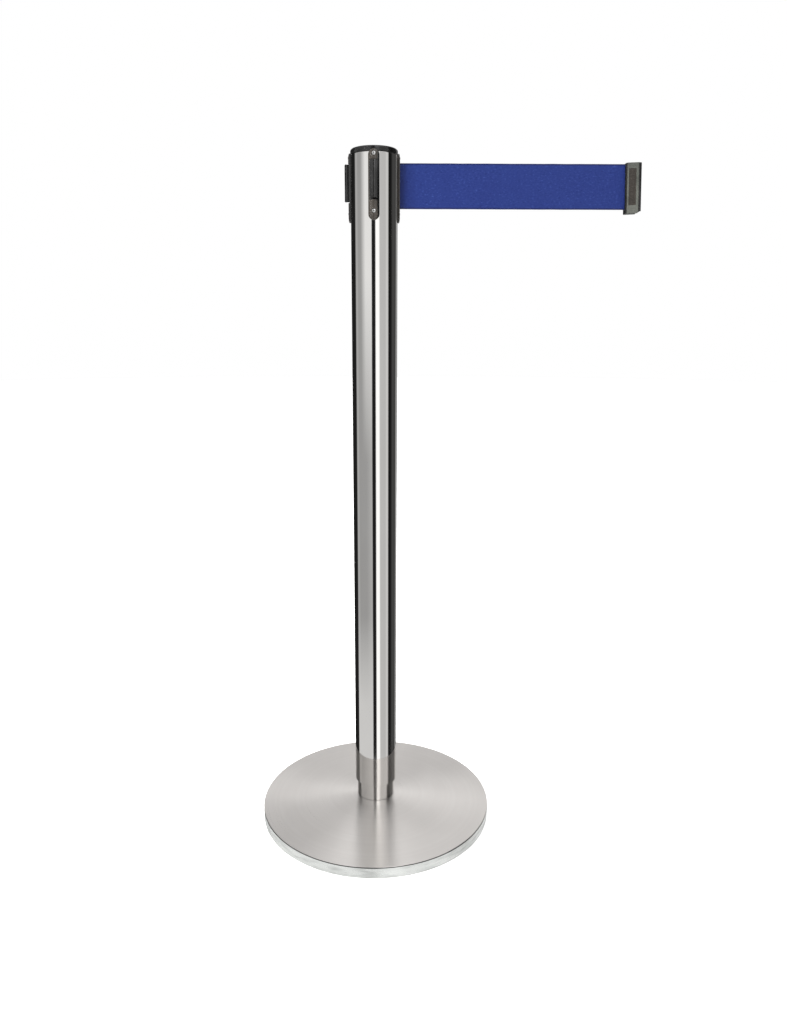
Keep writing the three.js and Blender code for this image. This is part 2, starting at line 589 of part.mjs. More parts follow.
// The strap runs from the outlet into the clip, where its sewn loop goes round a pin.
function addStrap() {
  const half = BELT_THICKNESS / 2;
  const loop = CLIP_PIN_RADIUS + GAP;
  const height = [BELT_BOTTOM_Z, BELT_TOP_Z];
  const sheet = block([BELT_START_X, CLIP_PIN_X - loop - half], [-half, half], height);
  const eye = ring(loop, loop + BELT_THICKNESS, ...height, 20).translate([CLIP_PIN_X, 0, 0]);
  addPart("belt_strap", sheet.add(eye), BLUE_WEBBING);
}

// ---------- clip ----------
// The clip seen from above: rounded corners, and a bevel at the one in front of the channel.
function clipPlan() {
  const [left, right, half, radius] = [CLIP_LEFT, CLIP_RIGHT, CLIP_HALF_DEPTH, CLIP_CORNER];
  const plan = new THREE.Shape();
  plan.absarc(left + radius, -half + radius, radius, Math.PI, 1.5 * Math.PI, false);
  plan.lineTo(right - CLIP_BEVEL[0], -half);
  plan.lineTo(right, -half + CLIP_BEVEL[1]);
  plan.absarc(right - radius, half - radius, radius, 0, 0.5 * Math.PI, false);
  plan.absarc(left + radius, half - radius, radius, 0.5 * Math.PI, Math.PI, false);
  return plan;
}

// A rod along +Y at the place of the screw that holds the clip's back plate.
function clipRod(radius, from, to, segments) {
  return rod(radius, from, to, segments).rotate([-90, 0, 0]).translate([CLIP_PIN_X, 0, CLIP_SCREW_Z]);
}

function addClipBody() {
  const half = CLIP_HALF_DEPTH;
  let body = upright(clipPlan(), CLIP_BOTTOM_Z, CLIP_TOP_Z, 3);
  const below = CLIP_BOTTOM_Z - 1;
  const cuts = [
    block([CLIP_STEP_X, CLIP_RIGHT + 1], [-half - 1, half + 1], [below, CLIP_STEP_Z]),
    block(CHANNEL_X, [-CHANNEL_HALF_WIDTH, CHANNEL_HALF_WIDTH], [below, CHANNEL_TOP_Z]),
    block([CHANNEL_X[1] - 1, CLIP_RIGHT + 1], [-CHANNEL_MOUTH, CHANNEL_MOUTH], [below, CHANNEL_TOP_Z]),
    block(PANEL_X, [-half - 1, -half + PANEL_DEPTH], PANEL_Z),
    block(BELT_ROOM_X, [-BELT_ROOM_FRONT, half + 1], BELT_ROOM_Z),
    block([CLIP_LEFT - 1, BELT_ROOM_X[0] + 1], [-BELT_SLIT / 2, BELT_SLIT / 2], BELT_ROOM_Z),
    block(BACK_PLATE_X, [half - BACK_PLATE_THICKNESS - GAP, half + 1], BACK_PLATE_Z),
    clipRod(CLIP_SCREW_BORE, -2, half, 10),
  ];
  for (const cut of cuts) body = body.subtract(cut);
  addPart("clip_body", body, CLIP_PLASTIC);
}

function addClipPieces() {
  const half = CLIP_HALF_DEPTH;
  const wide = [BACK_PLATE_X[0] + GAP, BACK_PLATE_X[1] - GAP];
  const tall = [BACK_PLATE_Z[0] + GAP, BACK_PLATE_Z[1] - GAP];
  const plate = block(wide, [half - BACK_PLATE_THICKNESS, half], tall);
  const seat = clipRod(2.1, half - 1.1, half + 1, 12).add(clipRod(CLIP_SCREW_BORE, 0, half + 1, 12));
  addPart("clip_back", plate.subtract(seat), CLIP_PLASTIC);
  const screw = clipRod(1.7, half - 0.8, half, 12).add(clipRod(0.9, 0, half - 0.5, 10));
  addPart("clip_screw", screw, ZINC);
  const [pinBottom, pinTop] = [BELT_ROOM_Z[0] + GAP, BELT_ROOM_Z[1] - GAP];
  addPart("clip_pin", rod(CLIP_PIN_RADIUS, pinBottom, pinTop, 16, CLIP_PIN_X, 0), ZINC);
}

addFloorMat();
addBaseWeight();
addBaseCover();
addPoleFoot();
addTieBolt();
addPole();
addTopCap();
addHeadPlates();
addCassetteBody();
addCassetteEnds();
addBushes();
addAxle();
addDrum();
addArbor();
addClockSpring();
addBeltFeed();
addStrap();
addClipBody();
addClipPieces();

export default stanchion;
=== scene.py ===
"""Looks of the retractable belt stanchion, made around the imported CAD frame.

Metres, +Z up, front towards -Y.
"""

import json
import math

import bmesh
import bpy
from mathutils import Matrix, Vector, noise


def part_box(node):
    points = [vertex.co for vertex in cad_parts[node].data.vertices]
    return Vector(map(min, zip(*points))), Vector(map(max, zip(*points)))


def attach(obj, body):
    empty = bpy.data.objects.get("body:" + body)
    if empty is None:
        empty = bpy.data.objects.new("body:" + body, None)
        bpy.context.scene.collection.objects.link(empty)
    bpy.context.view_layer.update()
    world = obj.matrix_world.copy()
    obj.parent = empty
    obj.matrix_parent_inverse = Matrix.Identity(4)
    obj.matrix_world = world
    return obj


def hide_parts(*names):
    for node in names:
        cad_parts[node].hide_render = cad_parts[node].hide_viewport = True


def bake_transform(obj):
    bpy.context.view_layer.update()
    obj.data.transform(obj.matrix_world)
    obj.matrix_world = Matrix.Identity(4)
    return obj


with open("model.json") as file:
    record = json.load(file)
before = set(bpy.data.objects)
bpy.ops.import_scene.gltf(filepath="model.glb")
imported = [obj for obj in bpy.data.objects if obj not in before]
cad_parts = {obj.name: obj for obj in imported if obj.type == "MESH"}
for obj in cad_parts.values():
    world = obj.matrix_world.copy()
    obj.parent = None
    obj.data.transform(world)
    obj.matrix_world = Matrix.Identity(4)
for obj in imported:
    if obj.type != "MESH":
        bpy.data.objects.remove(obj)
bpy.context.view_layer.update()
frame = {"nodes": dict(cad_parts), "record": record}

MM = 0.001

# ---------- places and sizes, read from the frame ----------
pole_low, pole_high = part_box("pole_tube")
cap_low, cap_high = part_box("top_cap")
collar_low, collar_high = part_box("base_collar")
_, cover_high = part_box("base_cover")
outlet_low, outlet_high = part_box("outlet_plate")
front_low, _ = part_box("receiver_front")
strap_low, strap_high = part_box("belt_strap")
clip_low, clip_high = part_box("clip_body")
screw_upper_low, screw_upper_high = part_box("plate_screw_outlet_upper")
screw_lower_low, screw_lower_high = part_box("plate_screw_outlet_lower")

POLE_RADIUS = pole_high.x
POLE_BORE = POLE_RADIUS - 1.2 * MM
CAP_RADIUS = cap_high.x
BASE_RADIUS = cover_high.x
COLLAR_RADIUS = collar_high.x
PLATE_FACE = outlet_high.x
PLATE_HALF_WIDTH = outlet_high.y
PLATE_BOTTOM, PLATE_TOP = outlet_low.z, outlet_high.z
RAIL_FACE = -front_low.y
SCREW_HEIGHTS = {
    "upper": (screw_upper_low.z + screw_upper_high.z) / 2,
    "lower": (screw_lower_low.z + screw_lower_high.z) / 2,
}
BELT_BOTTOM, BELT_TOP = strap_low.z, strap_high.z
BELT_MIDDLE = (BELT_BOTTOM + BELT_TOP) / 2
HEAD_TURNS = {"outlet": 0, "back": 90, "left": 180, "front": 270}

# Sizes inside a node. They are the CAD part's, apart from how far the cuts reach, the rail's depth
# and crown, the ledge, and the width of the clip's right bevel.
COVER_WALL = 1 * MM
CONE_RISE = 9.1 * MM
SEAT_DEPTH = 31.4 * MM  # how far from the pole's axis the heads of the plate screws sit
CUT_REACH = 40 * MM  # from the pole's axis, past everything on the head
# Upright openings, each as (half width, bottom, top).
BELT_SLOT = (2.2 * MM, 843.1 * MM, 901.5 * MM)
KEY_SLOT = (2.9 * MM, 846.7 * MM, 895.3 * MM)
POCKET = (5.6 * MM, 851.8 * MM, 898.6 * MM)
POCKET_FLOOR = 31.1 * MM
RAIL = (4.5 * MM, 853.5 * MM, 897.6 * MM)
RAIL_WEB = 1.5 * MM
RAIL_DEPTH, RAIL_CROWN = 1.8 * MM, 1.4 * MM
LEDGE_START, LEDGE_FLOOR = 4.5 * MM, 30 * MM  # low ledge along one long edge of a receiver
MOUTH = (1.9 * MM, 843.4 * MM, 901.2 * MM)
OUTLET_SLOT = (1.15 * MM, 844.6 * MM, 900.4 * MM)
MOUTH_REACH = 27 * MM
CLIP_STEP = (332.2 * MM, 842.8 * MM)
CLIP_CORNER = 1.5 * MM
# The right bevel is wider than the CAD's, which widens the black painted shade on it.
CLIP_BEVEL = (3.9 * MM, 1.9 * MM)
CHANNEL_X = (330.9 * MM, 335.4 * MM)
CHANNEL_HALF_WIDTH, CHANNEL_MOUTH, CHANNEL_TOP = 4.8 * MM, 2 * MM, 897.9 * MM
PANEL_X, PANEL_Z = (320.4 * MM, 329.7 * MM), (850.1 * MM, 893.9 * MM)
PANEL_DEPTH = 0.8 * MM
ROOM_X, ROOM_Z = (319.9 * MM, 329.5 * MM), (845 * MM, 900 * MM)
ROOM_FRONT, BELT_SLIT = 3.4 * MM, 0.9 * MM
BACK_X, BACK_Z, BACK_DEPTH = (318 * MM, 330.3 * MM), (841.4 * MM, 900.1 * MM), 2.1 * MM
PIN_X, CLIP_SCREW_Z = 324.8 * MM, 843.6 * MM


# ---------- mesh helpers ----------
def finish_mesh(mesh, sharp_angle=35):
    mesh.shade_smooth()
    mesh.set_sharp_from_angle(angle=math.radians(sharp_angle))


def new_object(name, bm, sharp_angle=35):
    bmesh.ops.recalc_face_normals(bm, faces=bm.faces)
    mesh = bpy.data.meshes.new(name)
    bm.to_mesh(mesh)
    bm.free()
    finish_mesh(mesh, sharp_angle)
    made = bpy.data.objects.new(name, mesh)
    bpy.context.scene.collection.objects.link(made)
    return made


def place(made, body, material, slot, *nodes):
    """Gives a finished piece its material, its body and the CAD nodes that it stands for."""
    made.data.materials.clear()
    made.data.materials.append(material)
    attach(made, body)
    if nodes:
        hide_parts(*nodes)
    return made


def filleted(corners, steps=5):
    """Turns (r, z, fillet) corners into an outline with rounded corners.

    A point a little way beyond each end of a fillet keeps the flat faces beside it shaded flat.
    """
    outline = []
    count = len(corners)
    for i, (r, z, fillet) in enumerate(corners):
        here = Vector((r, z))
        if fillet <= 0:
            outline.append((r, z))
            continue
        ends, supports = [], []
        for other in (corners[i - 1], corners[(i + 1) % count]):
            side = Vector(other[:2]) - here
            free = side.length - fillet - other[2]
            ends.append(here + side.normalized() * fillet)
            if free > 0.05 * MM:
                supports.append(here + side.normalized() * (fillet + min(fillet / 2, free / 3)))
            else:
                supports.append(None)
        curve = []
        for step in range(steps + 1):
            t = step / steps
            curve.append(ends[0] * (1 - t) ** 2 + here * 2 * t * (1 - t) + ends[1] * t * t)
        points = [supports[0], *curve, supports[1]]
        outline += [(point.x, point.y) for point in points if point is not None]
    return outline


def lathe(name, outline, segments=128, closed=False, sharp_angle=35):
    """A solid of revolution about +Z from (r, z) points."""
    bm = bmesh.new()
    rings = []
    for r, z in outline:
        if r < 1e-7:
            rings.append([bm.verts.new((0, 0, z))] * segments)
            continue
        turns = [2 * math.pi * i / segments for i in range(segments)]
        rings.append([bm.verts.new((r * math.cos(a), r * math.sin(a), z)) for a in turns])
    pairs = list(zip(rings, rings[1:]))
    if closed:
        pairs.append((rings[-1], rings[0]))
    for low, high in pairs:
        for i in range(segments):
            j = (i + 1) % segments
            corners = list(dict.fromkeys((low[i], low[j], high[j], high[i])))
            if len(corners) > 2:
                bm.faces.new(corners)
    return new_object(name, bm, sharp_angle)


def block(name, low, high, bevel=0.0, bevel_steps=2):
    bm = bmesh.new()
    bmesh.ops.create_cube(bm, size=1)
    low, high = Vector(low), Vector(high)
    for v in bm.verts:
        v.co = Vector([low[i] + (v.co[i] + 0.5) * (high[i] - low[i]) for i in range(3)])
    if bevel:
        edges = bm.edges[:]
        bmesh.ops.bevel(bm, geom=edges, offset=bevel, segments=bevel_steps, affect="EDGES", profile=0.5)
    return new_object(name, bm)


def drum(name, radius, low, high, axis="X", segments=24, centre=(0, 0)):
    """A plain cylinder along one axis; centre gives its place across that axis."""
    bm = bmesh.new()
    shape = {"segments": segments, "radius1": radius, "radius2": radius, "depth": high - low}
    bmesh.ops.create_cone(bm, cap_ends=True, **shape)
    bmesh.ops.translate(bm, verts=bm.verts, vec=(0, 0, (low + high) / 2))
    quarter = math.pi / 2
    turn = {"X": Matrix.Rotation(quarter, 4, "Y"), "Y": Matrix.Rotation(-quarter, 4, "X"), "Z": Matrix()}
    bmesh.ops.transform(bm, matrix=turn[axis], verts=bm.verts)
    across = {"X": (0, *centre), "Y": (centre[0], 0, centre[1]), "Z": (*centre, 0)}
    bmesh.ops.translate(bm, verts=bm.verts, vec=across[axis])
    return new_object(name, bm)


def combine(target, tools, operation="DIFFERENCE"):
    """Cuts the tools out of target, or joins them to it, and throws the tools away."""
    for tool in tools:
        step = target.modifiers.new("cut", "BOOLEAN")
        step.object = tool
        step.operation = operation
        step.solver = "EXACT"
    graph = bpy.context.evaluated_depsgraph_get()
    mesh = bpy.data.meshes.new_from_object(target.evaluated_get(graph))
    target.modifiers.clear()
    target.data = mesh
    for tool in tools:
        bpy.data.objects.remove(tool)
    finish_mesh(mesh)


def soften(made, width):
    """Small round edges, made real in the mesh."""
    angle = 40
    edge = made.modifiers.new("edge", "BEVEL")
    edge.width = width
    edge.segments = 2
    edge.limit_method = "ANGLE"
    edge.angle_limit = math.radians(angle)
    edge.harden_normals = False
    edge.use_clamp_overlap = True
    graph = bpy.context.evaluated_depsgraph_get()
    mesh = bpy.data.meshes.new_from_object(made.evaluated_get(graph))
    made.modifiers.clear()
    made.data = mesh
    finish_mesh(mesh, angle)


def turn_about_pole(made, degrees):
    made.data.transform(Matrix.Rotation(math.radians(degrees), 4, "Z"))
    return made


# ---------- material helpers ----------
class Nodes:
    """A short way to write the node tree of a material or of the world."""

    def __init__(self, owner):
        owner.use_nodes = True
        self.owner = owner
        self.tree = owner.node_tree
        self.shader = self.tree.nodes.get("Principled BSDF")

    def add(self, kind, inputs=(), **settings):
        node = self.tree.nodes.new(kind)
        for key, value in settings.items():
            setattr(node, key, value)
        for key, value in dict(inputs).items():
            self.feed(node.inputs[key], value)
        return node

    def feed(self, socket, value):
        if isinstance(value, bpy.types.NodeSocket):
            self.tree.links.new(value, socket)
        elif isinstance(value, bpy.types.Node):
            self.tree.links.new(value.outputs[0], socket)
        else:
            socket.default_value = value

    def set(self, **inputs):
        for key, value in inputs.items():
            self.feed(self.shader.inputs[key.replace("_", " ")], value)

    def place(self):
        return self.add("ShaderNodeTexCoord").outputs["Object"]

    def stretch(self, scale):
        return self.add("ShaderNodeMapping", {"Vector": self.place(), "Scale": scale}).outputs[0]

    def noise(self, vector, scale, detail=3.0, roughness=0.5):
        inputs = {"Vector": vector, "Scale": scale, "Detail": detail, "Roughness": roughness}
        return self.add("ShaderNodeTexNoise", inputs).outputs["Fac"]

    def math(self, operation, *values):
        node = self.add("ShaderNodeMath", operation=operation)
        for socket, value in zip(node.inputs, values):
            self.feed(socket, value)
        return node.outputs[0]

    def span(self, value, low, high, to_low, to_high):
        inputs = {"Value": value, "From Min": low, "From Max": high, "To Min": to_low, "To Max": to_high}
        return self.add("ShaderNodeMapRange", inputs).outputs[0]

    def blend(self, share, first, second):
        node = self.add("ShaderNodeMix", data_type="RGBA")
        self.feed(node.inputs[0], share)
        self.feed(node.inputs[6], first)
        self.feed(node.inputs[7], second)
        return node.outputs[2]

    def bump(self, height, strength, distance, normal=None):
        inputs = {"Height": height, "Strength": strength, "Distance": distance}
        if normal is not None:
            inputs["Normal"] = normal
        return self.add("ShaderNodeBump", inputs).outputs[0]

    def radius(self):
        """Distance from the pole's axis."""
        parts = self.add("ShaderNodeSeparateXYZ", {"Vector": self.place()})
        x, y = parts.outputs[0], parts.outputs[1]
        return self.math("SQRT", self.math("ADD", self.math("MULTIPLY", x, x), self.math("MULTIPLY", y, y)))

    def along(self, distance):
        """A place that changes only with this distance, for rings and lines of noise."""
        return self.add("ShaderNodeCombineXYZ", {"X": distance, "Y": 0.0, "Z": 0.0}).outputs[0]


def new_material(name):
    return Nodes(bpy.data.materials.new(name))


def grey(level):
    return (level, level, level, 1.0)


def linear(red, green, blue):
    """An sRGB colour in 0 to 255 as linear RGBA."""
    parts = [c / 255 for c in (red, green, blue)]
    return (*[c / 12.92 if c <= 0.04045 else ((c + 0.055) / 1.055) ** 2.4 for c in parts], 1.0)


# ---------- materials ----------
def mirror_steel():
    """Polished stainless tube: faint lengthwise polishing lines and a slow waviness from drawing."""
    m = new_material("mirror_steel")
    lines = m.noise(m.stretch((1, 1, 0.02)), 900, 3)
    clouds = m.noise(m.stretch((1, 1, 0.35)), 22, 4)
    waves = m.noise(m.stretch((1, 1, 0.12)), 26, 2)
    m.set(Metallic=1.0)
    m.set(Base_Color=m.blend(clouds, linear(214, 212, 209), linear(228, 227, 225)))
    haze = m.span(clouds, 0.35, 0.7, 0.0, 0.03)
    m.set(Roughness=m.math("ADD", m.span(lines, 0.3, 0.7, 0.02, 0.05), haze))
    fine = m.bump(lines, 0.02, 0.0001)
    m.set(Normal=m.bump(waves, 0.10, 0.0008, fine))
    return m.owner


def spun_steel():
    """Base cover: stainless sheet spun on a lathe, so its brushing runs in circles."""
    m = new_material("spun_steel")
    across = m.along(m.radius())
    rings = m.noise(across, 2600, 4, 0.65)
    bands = m.noise(across, 160, 3)
    clouds = m.noise(m.place(), 9, 4)
    tone = m.blend(bands, linear(206, 202, 199), linear(216, 213, 210))
    m.set(Metallic=1.0, Anisotropic=0.9, Anisotropic_Rotation=0.25)
    m.set(Base_Color=m.blend(m.span(clouds, 0.3, 0.75, 0.0, 0.35), tone, linear(194, 190, 187)))
    rough = m.math("ADD", m.span(rings, 0.3, 0.7, 0.27, 0.36), m.span(clouds, 0.3, 0.7, -0.02, 0.03))
    m.set(Roughness=rough)
    m.set(Normal=m.bump(rings, 0.10, 0.00008))
    m.set(Tangent=m.add("ShaderNodeTangent", direction_type="RADIAL", axis="Z"))
    return m.owner


def rim_steel():
    """The cover's upright rim: the same sheet, brushed finer and lighter from handling."""
    m = new_material("rim_steel")
    parts = m.add("ShaderNodeSeparateXYZ", {"Vector": m.place()})
    lines = m.noise(m.along(parts.outputs[2]), 3200, 4, 0.65)
    scuffs = m.noise(m.stretch((1, 1, 5)), 42, 5)
    m.set(Metallic=1.0, Anisotropic=0.5, Anisotropic_Rotation=0.25)
    worn = m.span(scuffs, 0.45, 0.75, 0, 1)
    m.set(Base_Color=m.blend(worn, linear(229, 231, 228), linear(205, 207, 204)))
    m.set(Roughness=m.math("ADD", m.span(lines, 0.3, 0.7, 0.2, 0.3), m.span(scuffs, 0.4, 0.8, 0.0, 0.12)))
    m.set(Normal=m.bump(lines, 0.12, 0.0001))
    m.set(Tangent=m.add("ShaderNodeTangent", direction_type="RADIAL", axis="Z"))
    return m.owner


def moulded_plastic(name, colour, worn, low_rough, high_rough, grain=0.00002):
    """Moulded plastic with a spark-eroded grain, rubbed smoother and lighter on its edges."""
    m = new_material(name)
    texture = m.noise(m.place(), 2400, 3)
    clouds = m.noise(m.place(), 60, 4)
    edge = m.add("ShaderNodeNewGeometry").outputs["Pointiness"]
    wear = m.math("MULTIPLY", m.span(edge, 0.52, 0.62, 0, 1), m.span(clouds, 0.4, 0.6, 0.2, 1))
    shade = m.blend(m.span(clouds, 0.3, 0.7, 0, 0.5), colour, worn)
    m.set(Base_Color=m.blend(m.math("MULTIPLY", wear, 0.6), shade, worn))
    rough = m.span(clouds, 0.3, 0.7, low_rough, high_rough)
    m.set(Roughness=m.math("SUBTRACT", rough, m.math("MULTIPLY", wear, 0.08)))
    m.set(Normal=m.bump(texture, 0.35, grain))
    return m.owner


def webbing():
    """Woven polyester: yarns over and under, ribbed edges, and lighter flecks painted in as highlights
    where the yarn would catch the light.
    """
    m = new_material("webbing")
    parts = m.add("ShaderNodeSeparateXYZ", {"Vector": m.place()})
    x, z = parts.outputs[0], parts.outputs[2]
    warp_pitch, weft_pitch = 0.95 * MM, 0.62 * MM
    warp = m.math("SINE", m.math("MULTIPLY", z, 2 * math.pi / warp_pitch))
    weft = m.math("SINE", m.math("MULTIPLY", x, 2 * math.pi / weft_pitch))
    weave = m.math("MULTIPLY", warp, weft)
    yarn = m.noise(m.stretch((220, 1, 1400)), 1.0, 3)
    fleck = m.noise(m.stretch((1, 1, 1.6)), 330, 4, 0.6)
    patch = m.noise(m.place(), 26, 3)
    half = (BELT_TOP - BELT_BOTTOM) / 2
    out = m.math("ABSOLUTE", m.math("SUBTRACT", z, BELT_MIDDLE))
    selvage = m.span(out, half - 2.2 * MM, half - 1.4 * MM, 0, 1)
    base = m.blend(m.span(weave, -1, 1, 0.2, 0.8), linear(15, 26, 73), linear(25, 41, 94))
    base = m.blend(m.span(yarn, 0.3, 0.7, 0, 0.55), base, linear(19, 32, 83))
    # Lighter flecks in the colour: painted highlights where the yarn would catch the light.
    base = m.blend(m.span(fleck, 0.57, 0.72, 0, 0.55), base, linear(41, 60, 118))
    base = m.blend(m.span(fleck, 0.43, 0.3, 0, 0.6), base, linear(11, 20, 61))
    base = m.blend(m.span(patch, 0.35, 0.7, 0, 0.3), base, linear(18, 29, 80))
    m.set(Base_Color=m.blend(m.math("MULTIPLY", selvage, 0.72), base, linear(11, 17, 52)))
    m.set(Roughness=m.span(fleck, 0.3, 0.7, 0.88, 0.72))
    m.set(Specular_IOR_Level=0.25, Sheen_Weight=0.18, Sheen_Roughness=0.45)
    m.set(Sheen_Tint=linear(110, 130, 200))
    height = m.math("ADD", m.math("MULTIPLY", weave, 0.5), m.math("MULTIPLY", yarn, 0.6))
    m.set(Normal=m.bump(height, 0.55, 0.00012))
    return m.owner


def plated_steel(name, colour, low_rough, high_rough):
    """Bright plating with fine turning marks and a little haze."""
    m = new_material(name)
    haze = m.noise(m.place(), 420, 4)
    marks = m.noise(m.stretch((1, 1, 6)), 1500, 2)
    m.set(Metallic=1.0)
    m.set(Base_Color=m.blend(haze, colour, linear(236, 236, 236)))
    m.set(Roughness=m.span(haze, 0.3, 0.7, low_rough, high_rough))
    m.set(Normal=m.bump(marks, 0.12, 0.00003))
    return m.owner


def rough_solid(name, colour, second, metallic, rough, scale, depth):
    """Cast iron, rubber and other coarse surfaces: a mottled colour over a pitted skin."""
    m = new_material(name)
    pits = m.noise(m.place(), scale, 5, 0.6)
    clouds = m.noise(m.place(), scale / 12, 3)
    m.set(Metallic=metallic)
    m.set(Base_Color=m.blend(m.span(clouds, 0.3, 0.7, 0, 1), colour, second))
    m.set(Roughness=m.span(pits, 0.3, 0.7, rough - 0.1, rough + 0.08))
    m.set(Normal=m.bump(pits, 0.5, depth))
    return m.owner


MIRROR = mirror_steel()
SPUN = spun_steel()
RIM = rim_steel()
BLACK = moulded_plastic("black_plastic", linear(13, 13, 13), linear(24, 24, 24), 0.14, 0.22, 0.000006)
PLATE = moulded_plastic("plate_plastic", linear(35, 32, 29), linear(50, 46, 42), 0.26, 0.34, 0.00001)
CLIP = moulded_plastic("clip_plastic", linear(50, 52, 48), linear(73, 75, 70), 0.4, 0.52)
CLIP_PANEL = moulded_plastic("clip_panel", linear(31, 27, 23), linear(44, 39, 34), 0.5, 0.6)
INNER = moulded_plastic("inner_plastic", linear(30, 31, 33), linear(46, 47, 50), 0.5, 0.6)
DRUM = moulded_plastic("drum_plastic", linear(222, 219, 210), linear(236, 234, 228), 0.4, 0.5)
WEBBING = webbing()
SCREW = plated_steel("screw_steel", linear(196, 196, 194), 0.12, 0.25)
ZINC = plated_steel("zinc", linear(176, 180, 186), 0.25, 0.4)
SPRING = plated_steel("spring_steel", linear(70, 78, 96), 0.2, 0.35)
BRONZE = rough_solid("bronze", linear(150, 112, 62), linear(176, 136, 82), 0.9, 0.45, 1500, 0.00003)
ALUMINIUM = rough_solid("aluminium", linear(172, 174, 177), linear(188, 190, 192), 1.0, 0.45, 900, 0.00004)
IRON = rough_solid("cast_iron", linear(44, 43, 42), linear(62, 58, 54), 0.4, 0.7, 500, 0.0002)
RUBBER = rough_solid("rubber", linear(24, 24, 25), linear(36, 36, 37), 0.0, 0.8, 700, 0.00008)


def paint_cad_nodes():
    """Gives every CAD node that stays the finish of its material slot."""
    by_slot = {
        "rubber": RUBBER, "cast_iron": IRON, "brushed_cover": SPUN, "mirror_steel": MIRROR, "zinc": ZINC,
        "screw_steel": SCREW, "aluminium": ALUMINIUM, "spring_steel": SPRING, "bronze": BRONZE,
        "black_plastic": BLACK, "clip_plastic": CLIP, "inner_plastic": INNER, "drum_plastic": DRUM,
        "webbing": WEBBING,
    }
    for part in frame["record"]["subparts"]:
        node = frame["nodes"][part["node"]]
        node.data.materials.clear()
        node.data.materials.append(by_slot[part["material_slot"]])


# ---------- base ----------
def make_base_cover():
    """A shallow cone with a rolled edge over an upright rim; a fine groove parts the two. The groove's
    faces take the dark rubber finish: painted shade in the gap.
    """
    foot, top = 0.25 * MM, cover_high.z
    shoulder = top - CONE_RISE
    inside = BASE_RADIUS - COVER_WALL
    groove, depth = shoulder - 0.95 * MM, 0.7 * MM
    corners = [
        (7 * MM, top - COVER_WALL, 0), (COLLAR_RADIUS, top - COVER_WALL, 0),
        (inside, shoulder - COVER_WALL, 0.4 * MM), (inside, foot, 0), (BASE_RADIUS - 0.3 * MM, foot, 0),
        (BASE_RADIUS, foot + 0.3 * MM, 0.15 * MM), (BASE_RADIUS, groove - 0.75 * MM, 0.1 * MM),
        (BASE_RADIUS - depth, groove - 0.45 * MM, 0), (BASE_RADIUS - depth, groove + 0.25 * MM, 0),
        (BASE_RADIUS - 0.1 * MM, groove + 0.5 * MM, 0.08 * MM),
        (BASE_RADIUS - 0.1 * MM, shoulder + 0.1 * MM, 0.45 * MM),
        (COLLAR_RADIUS + 0.8 * MM, top, 0.6 * MM), (7 * MM, top, 0),
    ]
    cover = lathe("base_shell", filleted(corners, 8), 256, closed=True, sharp_angle=50)
    place(cover, "root", SPUN, "brushed_cover", "base_cover")
    cover.data.materials.append(RIM)
    cover.data.materials.append(RUBBER)
    for face in cover.data.polygons:
        radius, z = math.hypot(face.center.x, face.center.y), face.center.z
        if radius > BASE_RADIUS - 0.3 * MM and z < groove - 0.6 * MM:
            face.material_index = 1
        # The groove's faces get the dark rubber finish: painted shade in the gap between the cone and the
        # rim.
        elif radius > BASE_RADIUS - 0.75 * MM and abs(z - groove) < 0.62 * MM:
            face.material_index = 2


def make_collar():
    """The polished neck between the base and the pole."""
    inner = COLLAR_RADIUS - 1.5 * MM
    low, high = collar_low.z, collar_high.z
    corners = [
        (inner, low, 0), (COLLAR_RADIUS, low, 0.3 * MM),
        (COLLAR_RADIUS, high, 0.4 * MM), (inner, high, 0.4 * MM),
    ]
    collar = lathe("neck_collar", filleted(corners), 160, closed=True)
    place(collar, "root", MIRROR, "mirror_steel", "base_collar")


# ---------- pole ----------
def pole_rows():
    """Heights of the pole's rows with the outer radius at each, the ends being slightly rounded."""
    low, high, edge = pole_low.z, pole_high.z, 0.45 * MM
    rows = []
    for i in range(5):
        angle = i * math.pi / 8
        rows.append((low + edge * (1 - math.cos(angle)), POLE_RADIUS - edge + edge * math.sin(angle)))
    rows += [(low + beyond, POLE_RADIUS) for beyond in (0.6 * MM, 1 * MM)]
    upper_end = [(high + low - z, r) for z, r in reversed(rows)]
    breaks = [200 * MM, 400 * MM, 600 * MM, 800 * MM, BELT_SLOT[1], KEY_SLOT[1], KEY_SLOT[2], BELT_SLOT[2]]
    return rows + [(z, POLE_RADIUS) for z in breaks] + upper_end


